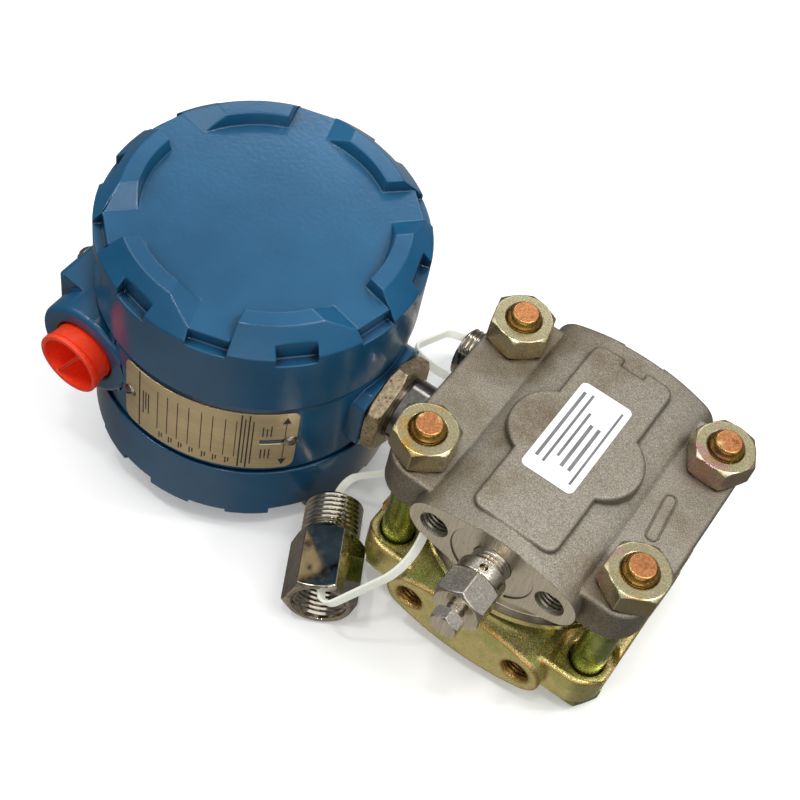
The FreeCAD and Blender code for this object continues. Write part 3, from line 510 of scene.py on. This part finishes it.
def roundEdges(piece, dress):
    shell = bmesh.new()
    shell.from_mesh(piece.data)
    weight = shell.edges.layers.float.new("bevel_weight_edge")
    limit = math.radians(dress["sharp"])
    for edge in shell.edges:
        edge[weight] = float(len(edge.link_faces) == 2 and edge.calc_face_angle() > limit)
    shell.to_mesh(piece.data)
    shell.free()
    applyModifier(
        piece, "BEVEL", limit_method="WEIGHT", width=dress["round"] * mm, segments=dress["steps"],
        use_clamp_overlap=False, loop_slide=True)


def smoothPiece(piece, angle=32):
    focus(piece)
    bpy.ops.object.shade_smooth_by_angle(angle=math.radians(angle))
    applyModifier(piece, "WEIGHTED_NORMAL", keep_sharp=True, weight=80)


def settle(piece, body, finish):
    piece.data.materials.clear()
    piece.data.materials.append(finish)
    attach(piece, body)


def settleDressed(piece, nodeName, finish):
    settle(piece, bodyOf[nodeName], finish)
    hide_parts(nodeName)


def addFinish(piece, finish, belongs):
    piece.data.materials.append(finish)
    index = len(piece.data.materials) - 1
    for face in piece.data.polygons:
        if belongs(face.center, face.normal):
            face.material_index = index


# rounding in millimetres, on edges sharper than this many degrees
dressing = {
    "electronics_housing": {"name": "housingCasting", "round": 0.5, "sharp": 28, "steps": 3},
    "upper_cover": {"name": "upperCoverCasting", "round": 0.4, "sharp": 18, "steps": 3},
    "lower_cover": {"name": "lowerCoverCasting", "round": 0.4, "sharp": 18, "steps": 3},
    "process_flange": {"name": "processFlangeCasting", "round": 0.2, "sharp": 28, "steps": 3},
    "blank_flange": {"name": "blankFlangeForging", "round": 0.35, "sharp": 28, "steps": 3},
    "sensor_module": {"name": "sensorBody", "round": 0.35, "sharp": 28, "steps": 2},
    "neck_lock_nut": {"name": "neckLockNutBody", "round": 0.35, "sharp": 20, "steps": 2},
    "flange_nuts": {"name": "flangeNutSet", "round": 0.3, "sharp": 16, "steps": 2},
    "flange_bolts": {"name": "flangeBoltSet", "round": 0.3, "sharp": 20, "steps": 2},
    "vent_valve_seat": {"name": "ventValveBody", "round": 0.25, "sharp": 20, "steps": 2},
    "vent_valve_screw": {"name": "ventValveSpindle", "round": 0.12, "sharp": 20, "steps": 2},
    "conduit_plug": {"name": "conduitPlugMoulding", "round": 0.45, "sharp": 28, "steps": 3},
    "conduit_adapter": {"name": "nearAdapterBody", "round": 0.3, "sharp": 16, "steps": 2},
    "rear_conduit_adapter": {"name": "rearAdapterBody", "round": 0.3, "sharp": 16, "steps": 2},
    "nameplate": {"name": "nameplateSheet", "round": 0.15, "sharp": 40, "steps": 2},
    "nameplate_screws": {"name": "nameplateScrewSet", "round": 0.2, "sharp": 40, "steps": 2},
    "ground_screw": {"name": "groundScrewBody", "round": 0.3, "sharp": 40, "steps": 2},
    "cable_tie": {"name": "nearTieStrap", "round": 0.3, "sharp": 40, "steps": 2},
    "rear_cable_tie": {"name": "rearTieStrap", "round": 0.3, "sharp": 40, "steps": 2},
}
finishOf = {
    "neck_lock_nut": "worn_steel", "flange_nuts": "zinc_nut", "flange_bolts": "zinc_bolt",
    "sensor_module": "turned_steel", "nameplate_screws": "screw_steel", "ground_screw": "screw_steel",
}


def finishFor(nodeName):
    return finishes[finishOf.get(nodeName, slotOf[nodeName])]


def drawIn(piece, start, axis, thread):
    # draws a plain cylinder in to its thread's root radius
    first, last = thread["drawn"]
    least, most = thread["body"]
    for vertex in piece.data.vertices:
        along = (vertex.co - start).dot(axis)
        foot = start + axis * along
        radius = (vertex.co - foot).length
        if first * mm < along < last * mm and least * mm < radius < most * mm:
            vertex.co = foot + (vertex.co - foot) * (thread["root"] * mm / radius)


# In each thread, body is where the solid's plain cylinder lies and drawn is the stretch that is drawn in.

adapterThread = {
    "whole": 39.8, "span": (0.9, 14.4), "drawn": (-0.1, 15.4), "body": (9.4, 10.5),
    "crest": 10.15, "root": 9.25, "pitch": 1.81,
}
adapters = {
    "conduit_adapter": {
        "side": "near", "mouth": (-44.9, -102.5, -61.1), "direction": (0.466, -0.882, 0.058)},
    "rear_conduit_adapter": {
        "side": "rear", "mouth": (-25.5, 16.3, -55.8), "direction": (0.993, 0, 0.119)},
}
for adapter in adapters.values():
    adapter["axis"] = Vector(adapter["direction"]).normalized()
    adapter["start"] = Vector(adapter["mouth"]) * mm - adapter["axis"] * adapterThread["whole"] * mm

eyeEnds = {"faces": (-87.9, 0.5), "near": 0.3, "spot": 12.5, "spotDepth": 3.0}  # the flange's end faces
nearFace, farFace = eyeEnds["faces"]
nearPort = Vector((0, nearFace, 0)) * mm
farPort = Vector((0, farFace, 0)) * mm
ventNeck = {
    "span": (-2.0, 4.2), "drawn": (-12.1, 4.45), "body": (6.3, 6.8), "crest": 6.5, "root": 5.85,
    "pitch": 1.41,
}
boltEnd = {
    "base": 15.3, "span": (0.3, 2.9), "drawn": (0.05, 3.6), "body": (5.2, 5.8), "crest": 5.5, "root": 5.0,
    "pitch": 1.27, "across": (-37.4, 37.4), "along": (-71.3, -16.1),
}
boltPlaces = [Vector((x, y, boltEnd["base"])) * mm for x in boltEnd["across"] for y in boltEnd["along"]]
collarThread = {
    "span": (19.0, 32.4), "drawn": (18.1, 33.1), "body": (47.2, 48.0), "crest": 47.5, "root": 46.4,
    "pitch": 3.0, "steps": 96,
}


def cutLevel(piece, height):
    focus(piece)
    bpy.ops.object.mode_set(mode="EDIT")
    bpy.ops.mesh.select_all(action="SELECT")
    bpy.ops.mesh.bisect(plane_co=(0, 0, height), plane_no=(0, 0, 1))
    bpy.ops.object.mode_set(mode="OBJECT")


def shapeForThread(piece, nodeName):
    if nodeName in adapters:
        adapter = adapters[nodeName]
        drawIn(piece, adapter["start"], adapter["axis"], adapterThread)
    if nodeName == "vent_valve_seat":
        drawIn(piece, nearPort, front, ventNeck)
    if nodeName == "flange_bolts":
        cutLevel(piece, boltEnd["base"] * mm)
        for place in boltPlaces:
            drawIn(piece, place, up, boltEnd)
    if nodeName == "electronics_housing":
        for axis in (up, down):
            drawIn(piece, barrelCentre, axis, collarThread)


rimGroove = {"half": 18.2, "deep": 2.8, "step": 0.1, "body": (52.6, 53.5), "root": 50.9}
plugWeb = {"axis": (-152.5, -24.0), "front": -100.4, "near": 0.6, "radius": 10.3, "out": 1.4}


def onPlugWeb(point):
    x, z = plugWeb["axis"]
    away = math.hypot(point.x - x * mm, point.z - z * mm)
    return abs(point.y - plugWeb["front"] * mm) < plugWeb["near"] * mm and away < plugWeb["radius"] * mm


def shapeAfterRounding(piece, nodeName):
    if nodeName == "electronics_housing":  # the groove under the upper cover
        ledge = rimGroove["half"] - rimGroove["deep"]
        for level in (ledge, ledge + rimGroove["step"]):
            cutLevel(piece, barrelCentre.z + level * mm)
        rim = (ledge + rimGroove["step"] / 2, rimGroove["half"] + rimGroove["step"])
        drawIn(piece, barrelCentre, up, dict(rimGroove, drawn=rim))
    if nodeName == "conduit_plug":  # the web's edge nearly flush with the rim
        for vertex in piece.data.vertices:
            if onPlugWeb(vertex.co):
                vertex.co.y -= plugWeb["out"] * mm


# slot: length, width, depth
plateScrews = {"angles": (-101.0, -39.9), "top": 55.4, "turns": (35, 25), "slot": (7.0, 0.65, 0.7)}
groundScrew = {"top": (-175.5, -69.7, -14.5), "turn": 40, "slot": (10.0, 1.1, 1.2)}


def cutSlot(piece, top, outward, turn, slot):
    length, width, depth = slot
    bpy.ops.object.select_all(action="DESELECT")
    bpy.ops.mesh.primitive_cube_add(size=1)
    cutter = bpy.context.active_object
    size = Matrix.Diagonal((length * mm, width * mm, 2 * depth * mm, 1))
    stand = outward.to_track_quat("Z", "Y").to_matrix().to_4x4()
    cutter.data.transform(
        Matrix.Translation(top) @ stand @ Matrix.Rotation(math.radians(turn), 4, "Z") @ size)
    applyModifier(piece, "BOOLEAN", object=cutter, operation="DIFFERENCE", solver="EXACT")
    bpy.data.objects.remove(cutter)


def cutSlots(piece, nodeName):
    if nodeName == "nameplate_screws":
        for angle, turn in zip(plateScrews["angles"], plateScrews["turns"]):
            outward = Vector((math.cos(math.radians(angle)), math.sin(math.radians(angle)), 0))
            top = barrelCentre + outward * plateScrews["top"] * mm
            cutSlot(piece, top, outward, turn, plateScrews["slot"])
    if nodeName == "ground_screw":
        cutSlot(piece, Vector(groundScrew["top"]) * mm, left, groundScrew["turn"], groundScrew["slot"])


dressed = {}
for nodeName, dress in dressing.items():
    piece = mergedCopy(nodeName, dress["name"])
    shapeForThread(piece, nodeName)
    roundEdges(piece, dress)
    shapeAfterRounding(piece, nodeName)
    cutSlots(piece, nodeName)
    smoothPiece(piece)
    settleDressed(piece, nodeName, finishFor(nodeName))
    dressed[nodeName] = piece
print("dressed copies:", len(dressed), "faces", sum(len(p.data.polygons) for p in dressed.values()))

# what keeps its own solid's mesh
for nodeName, node in nodes.items():
    if nodeName not in dressed:
        node.data.materials.clear()
        node.data.materials.append(finishFor(nodeName))

neckStart = -41.0  # x at the sensor's neck


def onEndFace(centre, normal):
    away = min(abs(centre.y - face * mm) for face in eyeEnds["faces"])
    inSpot = math.hypot(centre.x, centre.z) < eyeEnds["spot"] * mm and away < eyeEnds["spotDepth"] * mm
    return abs(normal.y) > facing and (inSpot or away < eyeEnds["near"] * mm)


def onNeck(centre, normal):
    return centre.x < neckStart * mm


def onBoltThread(centre, normal):
    return centre.z > boltEnd["base"] * mm


def onBoltEnd(centre, normal):
    return normal.z > facing and onBoltThread(centre, normal)


addFinish(dressed["process_flange"], finishes["machined"], onEndFace)
# painted shade: the sensor's neck gets a darker steel than the rest of its body
addFinish(dressed["sensor_module"], finishes["shaded_neck_steel"], onNeck)
addFinish(dressed["flange_bolts"], finishes["zinc_thread"], onBoltThread)
addFinish(dressed["flange_bolts"], finishes["copper_end"], onBoltEnd)
print("second finishes set")


# Threads: one ridge section, swept along its helix

# half widths in pitches, steps a turn
ridgeForm = {"crestHalf": 0.07, "rootHalf": 0.47, "steps": 40, "weld": 0.001, "smooth": 30}


def makeThread(name, base, axis, thread, finishName):
    pitch = thread["pitch"] * mm
    first, last = thread["span"][0] * mm, thread["span"][1] * mm
    turns = (last - first) / pitch
    bpy.ops.object.select_all(action="DESELECT")
    bpy.ops.mesh.primitive_plane_add(size=1)
    ridge = bpy.context.active_object
    ridge.name = name
    bpy.ops.object.mode_set(mode="EDIT")
    bpy.ops.mesh.delete(type="ONLY_FACE")
    bpy.ops.object.mode_set(mode="OBJECT")
    for vertex in ridge.data.vertices:  # root side and crest side of the section
        side = "crest" if vertex.co.x > 0 else "root"
        half = ridgeForm[side + "Half"] * pitch
        vertex.co = (thread[side] * mm, 0, math.copysign(half, vertex.co.y))
    steps = int(thread.get("steps", ridgeForm["steps"]) * turns)
    applyModifier(
        ridge, "SCREW", angle=2 * math.pi * turns, screw_offset=last - first, steps=steps,
        render_steps=steps, use_merge_vertices=False)
    bpy.ops.object.mode_set(mode="EDIT")
    bpy.ops.mesh.select_all(action="SELECT")
    bpy.ops.mesh.remove_doubles(threshold=ridgeForm["weld"] * mm)
    bpy.ops.mesh.fill_holes(sides=4)
    bpy.ops.mesh.select_all(action="SELECT")
    bpy.ops.mesh.normals_make_consistent(inside=False)
    bpy.ops.object.mode_set(mode="OBJECT")
    turn = axis.to_track_quat("Z", "Y").to_matrix().to_4x4()
    ridge.data.transform(Matrix.Translation(base + axis * first) @ turn)
    bpy.ops.object.shade_smooth_by_angle(angle=math.radians(ridgeForm["smooth"]))
    settle(ridge, root, finishes[finishName])


mouthThread = {"span": (1.0, 14.5), "crest": 8.6, "root": 9.4, "pitch": 1.81}
for adapter in adapters.values():
    side, axis, mouth = adapter["side"], adapter["axis"], Vector(adapter["mouth"]) * mm
    makeThread(side + "SpigotThread", adapter["start"], axis, adapterThread, "dark_nickel")
    makeThread(side + "MouthThread", mouth, -axis, mouthThread, "dark_nickel")

makeThread("ventNeckThread", nearPort, front, ventNeck, "stainless")
for count, place in enumerate(boltPlaces):
    makeThread("boltEndThread%d" % count, place, up, boltEnd, "zinc_thread")
makeThread("upperCollarThread", barrelCentre, up, collarThread, "blue_paint")
makeThread("lowerCollarThread", barrelCentre, down, collarThread, "blue_paint")

tappedHole = {"span": (0.9, 17.0), "crest": 4.3, "root": 4.95, "pitch": 1.27, "steps": 28, "across": 20.65}
tappedFlanges = {
    "process": {"level": 0, "slot": "cast_stainless", "finish": "screw_steel"},
    "blank": {"level": -48, "slot": "yellow_zinc", "finish": "zinc_thread"},
}
for flangeName, flange in tappedFlanges.items():
    for face, axis, end in ((farFace, front, "Far"), (nearFace, back, "Near")):
        for sideSign, hand in ((-1, "Left"), (1, "Right")):
            place = Vector((sideSign * tappedHole["across"], face, flange["level"])) * mm
            holeName = flangeName + end + hand + "HoleThread"
            makeThread(holeName, place, axis, tappedHole, flange["finish"])

portThread = {"span": (0.9, 13.5), "crest": 5.9, "root": 6.65, "pitch": 1.41}
makeThread("farPortThread", farPort, front, portThread, "screw_steel")
farEntry = {"span": (1.6, 15.5), "crest": 9.8, "root": 10.65, "pitch": 1.81, "place": (-152.5, 7.3, -24)}
makeThread("farEntryThread", Vector(farEntry["place"]) * mm, front, farEntry, "blue_paint")
print("threads cut")


# Nameplate print: thin bars spun round the barrel, placed by angle and height

platePrint = {
    "radius": 53.9, "ink": 0.02, "columns": (-88.2, -84.2, -80.2, -76.0, -71.4, -67.4, -63.0, -59.2),
    "columnSpan": (-9.5, 11.5), "line": 0.28,
    "rules": (-96.4, -57.6, -54.9), "ruleSpan": (-15.2, 15.2), "rule": 0.5,
    "captions": ((1.0, -13.9), (2.0, -13.0)), "captionTop": -10.6, "caption": 0.42,  # shift, lower end
    "blocks": (  # angle, lower end, upper end
        (-94.6, -6.0, 6.5), (-93.4, -3.0, 6.5), (-92.2, -4.5, 6.5), (-56.3, -13.0, 13.0),
        (-53.5, -13.0, 12.0), (-50.0, 3.5, 9.0), (-48.6, 3.5, 8.0), (-47.2, 3.5, 9.5),
        (-50.0, -9.5, -4.0), (-48.6, -9.0, -4.0), (-47.2, -9.5, -4.0)),
}
plateArrow = {
    "angle": -42.2, "span": (-13.8, 13.8), "headHeight": 3.4, "headWidth": 2.8, "steps": 8, "tip": 0.7,
}


def startPrint(name):
    bpy.ops.object.select_all(action="DESELECT")
    piece = bpy.data.objects.new(name, bpy.data.meshes.new(name))
    bpy.context.scene.collection.objects.link(piece)
    focus(piece)
    bpy.ops.object.mode_set(mode="EDIT")
    bpy.ops.mesh.select_mode(type="VERT")
    return piece


def spinBar(piece, angle, width, low, high):
    radius = platePrint["radius"] * mm
    sweep = width * mm / radius
    begin = math.radians(angle) + sweep / 2  # the spin goes clockwise
    bpy.ops.mesh.select_all(action="DESELECT")
    sheet = bmesh.from_edit_mesh(piece.data)
    ends = []
    for level in (low, high):
        corner = Vector((math.cos(begin) * radius, math.sin(begin) * radius, level * mm))
        ends.append(sheet.verts.new(barrelCentre + corner))
    sheet.edges.new(ends)
    for end in ends:
        end.select = True
    sheet.select_flush(True)
    bmesh.update_edit_mesh(piece.data)
    steps = 2 * round(math.degrees(sweep) / 2) + 1
    bpy.ops.mesh.spin(steps=steps, angle=sweep, center=barrelCentre, axis=(0, 0, 1))


def spinHead(piece, arrow, tip, sense):
    # an arrowhead is a stack of widening bars
    step = arrow["headHeight"] / arrow["steps"]
    for row in range(arrow["steps"]):
        first = tip + sense * step * row
        second = first + sense * step
        wide = arrow["headWidth"] * (row + arrow["tip"]) / arrow["steps"]
        spinBar(piece, arrow["angle"], wide, min(first, second), max(first, second))


def looksInward(face):
    middle = face.calc_center_median()
    outward = Vector((middle.x - barrelCentre.x, middle.y - barrelCentre.y, 0))
    return face.normal.dot(outward) < 0


def finishPrint(piece):
    bpy.ops.object.mode_set(mode="OBJECT")
    sheet = bmesh.new()
    sheet.from_mesh(piece.data)
    bmesh.ops.remove_doubles(sheet, verts=sheet.verts, dist=weld)
    bmesh.ops.reverse_faces(sheet, faces=[face for face in sheet.faces if looksInward(face)])
    sheet.to_mesh(piece.data)
    sheet.free()
    applyModifier(piece, "SOLIDIFY", thickness=platePrint["ink"] * mm, offset=1)
    settle(piece, root, finishes["print_ink"])


plateInk = startPrint("nameplatePrint")
for angle in platePrint["columns"]:
    spinBar(plateInk, angle, platePrint["line"], *platePrint["columnSpan"])
for angle in platePrint["rules"]:
    spinBar(plateInk, angle, platePrint["rule"], *platePrint["ruleSpan"])
arrowLow, arrowHigh = plateArrow["span"]
head = plateArrow["headHeight"]
spinBar(plateInk, plateArrow["angle"], platePrint["line"], arrowLow + head, arrowHigh - head)
for angle in platePrint["columns"][:-1]:  # blank captions below the columns
    for shift, low in platePrint["captions"]:
        spinBar(plateInk, angle + shift, platePrint["caption"], low, platePrint["captionTop"])
for angle, low, high in platePrint["blocks"]:
    spinBar(plateInk, angle, platePrint["caption"], low, high)
spinHead(plateInk, plateArrow, arrowHigh, -1)
spinHead(plateInk, plateArrow, arrowLow, 1)
finishPrint(plateInk)
print("nameplate printed")


# Label: plain rules

labelRules = {
    "rise": 0.03,
    "bars": (  # from the edge, length, shift, width
        (2.6, 30, 1, 1.1), (5.3, 31, 1, 0.9), (7.9, 20, 0, 0.9),
        (10.6, 19, -3, 1.2), (13.3, 19, -3, 1.2), (16.0, 33, 0, 0.8)),
}


def makeLabelRules(name, rules):
    low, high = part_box("flange_label")
    middle = (low.y + high.y) / 2
    bars = []
    for across, length, shift, width in rules["bars"]:
        bpy.ops.object.select_all(action="DESELECT")
        bpy.ops.mesh.primitive_cube_add(size=1)
        bar = bpy.context.active_object
        place = Matrix.Translation((low.x + across * mm, middle + shift * mm, high.z))
        bar.data.transform(place @ Matrix.Diagonal((width * mm, length * mm, 2 * rules["rise"] * mm, 1)))
        bars.append(bar)
    bpy.ops.object.select_all(action="DESELECT")
    for bar in bars:
        bar.select_set(True)
    bpy.context.view_layer.objects.active = bars[0]
    bpy.ops.object.join()
    bars[0].name = name
    settle(bars[0], root, finishes["pale_ink"])


makeLabelRules("labelRules", labelRules)
print("label ruled")


# Cast mark on the flange's ledge: a bare raised outline

castMark = {
    "place": (33.2, -45.0, 6.9), "size": (4.6, 19.0), "turn": 6, "line": 0.7, "rise": 0.45, "corner": 2.2,
    "cornerSteps": 8, "round": 0.2, "roundSteps": 2, "sharp": 50,
}


def makeCastMark(name, mark):
    bpy.ops.object.select_all(action="DESELECT")
    bpy.ops.mesh.primitive_plane_add(size=1)
    piece = bpy.context.active_object
    piece.name = name
    width, length = mark["size"]
    turn = Matrix.Rotation(math.radians(mark["turn"]), 4, "Z")
    place = Matrix.Translation(Vector(mark["place"]) * mm) @ turn
    piece.data.transform(place @ Matrix.Diagonal((width * mm, length * mm, 1, 1)))
    bpy.ops.object.mode_set(mode="EDIT")
    bpy.ops.mesh.select_all(action="SELECT")
    bpy.ops.mesh.bevel(offset=mark["corner"] * mm, segments=mark["cornerSteps"], affect="VERTICES")
    bpy.ops.mesh.select_all(action="SELECT")
    bpy.ops.mesh.inset(thickness=mark["line"] * mm)
    bpy.ops.mesh.delete(type="FACE")
    bpy.ops.mesh.select_all(action="SELECT")
    bpy.ops.mesh.extrude_region_move(TRANSFORM_OT_translate={"value": (0, 0, mark["rise"] * mm)})
    bpy.ops.mesh.select_all(action="SELECT")
    bpy.ops.mesh.normals_make_consistent(inside=False)
    bpy.ops.object.mode_set(mode="OBJECT")
    applyModifier(
        piece, "BEVEL", width=mark["round"] * mm, segments=mark["roundSteps"], limit_method="ANGLE",
        angle_limit=math.radians(mark["sharp"]))
    smoothPiece(piece)
    settle(piece, root, finishes["cast_stainless"])


makeCastMark("castMarkOutline", castMark)
print("cast mark raised")


# Stage, in metres

stage = {
    "tilt": 0.1233, "rest": (-0.0738, -0.0437, -0.0770), "size": 6.0, "rough": 0.7, "cloud": 6,
    "tones": ((0.3, (238, 238, 237)), (0.7, (246, 246, 245))), "glow": 0.2,
}
bpy.ops.object.select_all(action="DESELECT")
bpy.ops.mesh.primitive_plane_add(size=stage["size"])
floor = bpy.context.active_object
floor.name = "paleFloor"
slope = Matrix.Rotation(-math.atan(stage["tilt"]), 4, "Y")
floor.data.transform(Matrix.Translation(stage["rest"]) @ slope)
floorFinish, floorTree, floorShader = newFinish("paleFloorFinish", stage["rough"], 0.0)
floorCloud = addNoise(floorTree, addPlace(floorTree), stage["cloud"], 3)
floorTree.links.new(addTones(floorTree, floorCloud, stage["tones"]), floorShader.inputs["Base Color"])
floorShader.inputs["Emission Color"].default_value = full
floorShader.inputs["Emission Strength"].default_value = stage["glow"]
floor.data.materials.append(floorFinish)
floor.visible_diffuse = False  # the object sees the sky's lower half instead
floor.visible_glossy = False

backdrop = {
    "radius": 2.9, "height": 3.2, "middle": 0.8, "sides": 96, "pale": (222, 222, 221), "rough": 0.8,
    "glow": 0.7,
}
bpy.ops.object.select_all(action="DESELECT")
bpy.ops.mesh.primitive_cylinder_add(
    vertices=backdrop["sides"], radius=backdrop["radius"], depth=backdrop["height"], end_fill_type="NOTHING")
wall = bpy.context.active_object
wall.name = "paleBackdrop"
wall.data.transform(Matrix.Translation((0, 0, backdrop["middle"])))
wall.data.flip_normals()
wallFinish, _, wallShader = newFinish("paleBackdropFinish", backdrop["rough"], 0.0)
wallShader.inputs["Base Color"].default_value = shade(*backdrop["pale"])
wallShader.inputs["Emission Color"].default_value = shade(*backdrop["pale"])
wallShader.inputs["Emission Strength"].default_value = backdrop["glow"]
wall.data.materials.append(wallFinish)
wall.visible_diffuse = False  # the camera alone sees it
wall.visible_glossy = False
wall.visible_shadow = False

lamps = {
    "keySoftbox": {"at": (0.55, 0.1, 1.35), "aim": (-0.06, -0.04, 0), "size": (0.9, 0.9), "power": 7.5},
    "leftWindow": {"at": (-0.95, -0.1, 1.0), "aim": (-0.1, -0.04, 0), "size": (0.7, 0.7), "power": 2.5},
    "frontFill": {"at": (0.5, -1.2, 0.5), "aim": (0, -0.04, 0), "size": (1.2, 0.8), "power": 3},
    "leftGlint": {"at": (-0.55, -0.3, 1.2), "aim": (-0.1, -0.04, 0), "size": (0.09, 0.09), "power": 2.2},
    "middleGlint": {"at": (-0.05, -0.35, 1.25), "aim": (-0.1, -0.04, 0), "size": (0.09, 0.09), "power": 2.2},
    "rightGlint": {"at": (0.5, 0.2, 1.1), "aim": (-0.1, -0.04, 0), "size": (0.09, 0.09), "power": 2.2},
    "backStrip": {"at": (-0.35, 0.8, 0.7), "aim": (-0.06, -0.04, 0), "size": (0.9, 0.2), "power": 2},
}
for lampName, lamp in lamps.items():
    data = bpy.data.lights.new(lampName, "AREA")
    data.shape = "RECTANGLE"
    data.size, data.size_y = lamp["size"]
    data.energy = lamp["power"]
    light = bpy.data.objects.new(lampName, data)
    light.location = lamp["at"]
    aim = Vector(lamp["aim"]) - Vector(lamp["at"])
    light.rotation_euler = aim.to_track_quat("-Z", "Y").to_euler()
    bpy.context.scene.collection.objects.link(light)

sky = {
    "rise": [(0.24, (0.12, 0.12, 0.125, 1)), (0.7, (0.66, 0.66, 0.67, 1))],  # horizon and zenith
    "below": [  # from the left to the right
        (0.2, (0.14, 0.13, 0.12, 1)), (0.38, (0.4, 0.37, 0.32, 1)),
        (0.57, (0.46, 0.42, 0.35, 1)), (0.7, (0.16, 0.15, 0.14, 1))],
    "change": (-0.4, -0.06),  # heights between which the lower half fades out
}
world = bpy.data.worlds.new("studioWorld")
world.use_nodes = True
bpy.context.scene.world = world
worldTree = world.node_tree
worldCoords = worldTree.nodes.new("ShaderNodeTexCoord")
axes = worldTree.nodes.new("ShaderNodeSeparateXYZ")
worldTree.links.new(worldCoords.outputs["Generated"], axes.inputs["Vector"])
skyColour = addRamp(worldTree, axes.outputs["Z"], sky["rise"])
belowColour = addRamp(worldTree, addRange(worldTree, axes.outputs["X"], 0, 1, -1, 1), sky["below"])
under = addRange(worldTree, axes.outputs["Z"], 1, 0, *sky["change"])
background = worldTree.nodes["Background"]
worldTree.links.new(addMix(worldTree, under, skyColour, belowColour), background.inputs["Color"])

view = {
    "at": (0.049678, -0.30885, 0.382484), "lens": 67.07, "sensor": 36, "nearest": 0.01,
    "right": (0.811719, 0.564381, 0.150288), "up": (-0.540392, 0.628138, 0.559839),
    "back": (0.221561, -0.535646, 0.814858),
}
cameraData = bpy.data.cameras.new("photoCamera")
cameraData.lens = view["lens"]
cameraData.sensor_width = view["sensor"]
cameraData.clip_start = view["nearest"]
camera = bpy.data.objects.new("photoCamera", cameraData)
turn = Matrix((view["right"], view["up"], view["back"])).transposed().to_4x4()
camera.matrix_world = Matrix.Translation(view["at"]) @ turn
bpy.context.scene.collection.objects.link(camera)
bpy.context.scene.camera = camera
bpy.context.scene.view_settings.view_transform = "Standard"
print("stage, lamps and camera set")
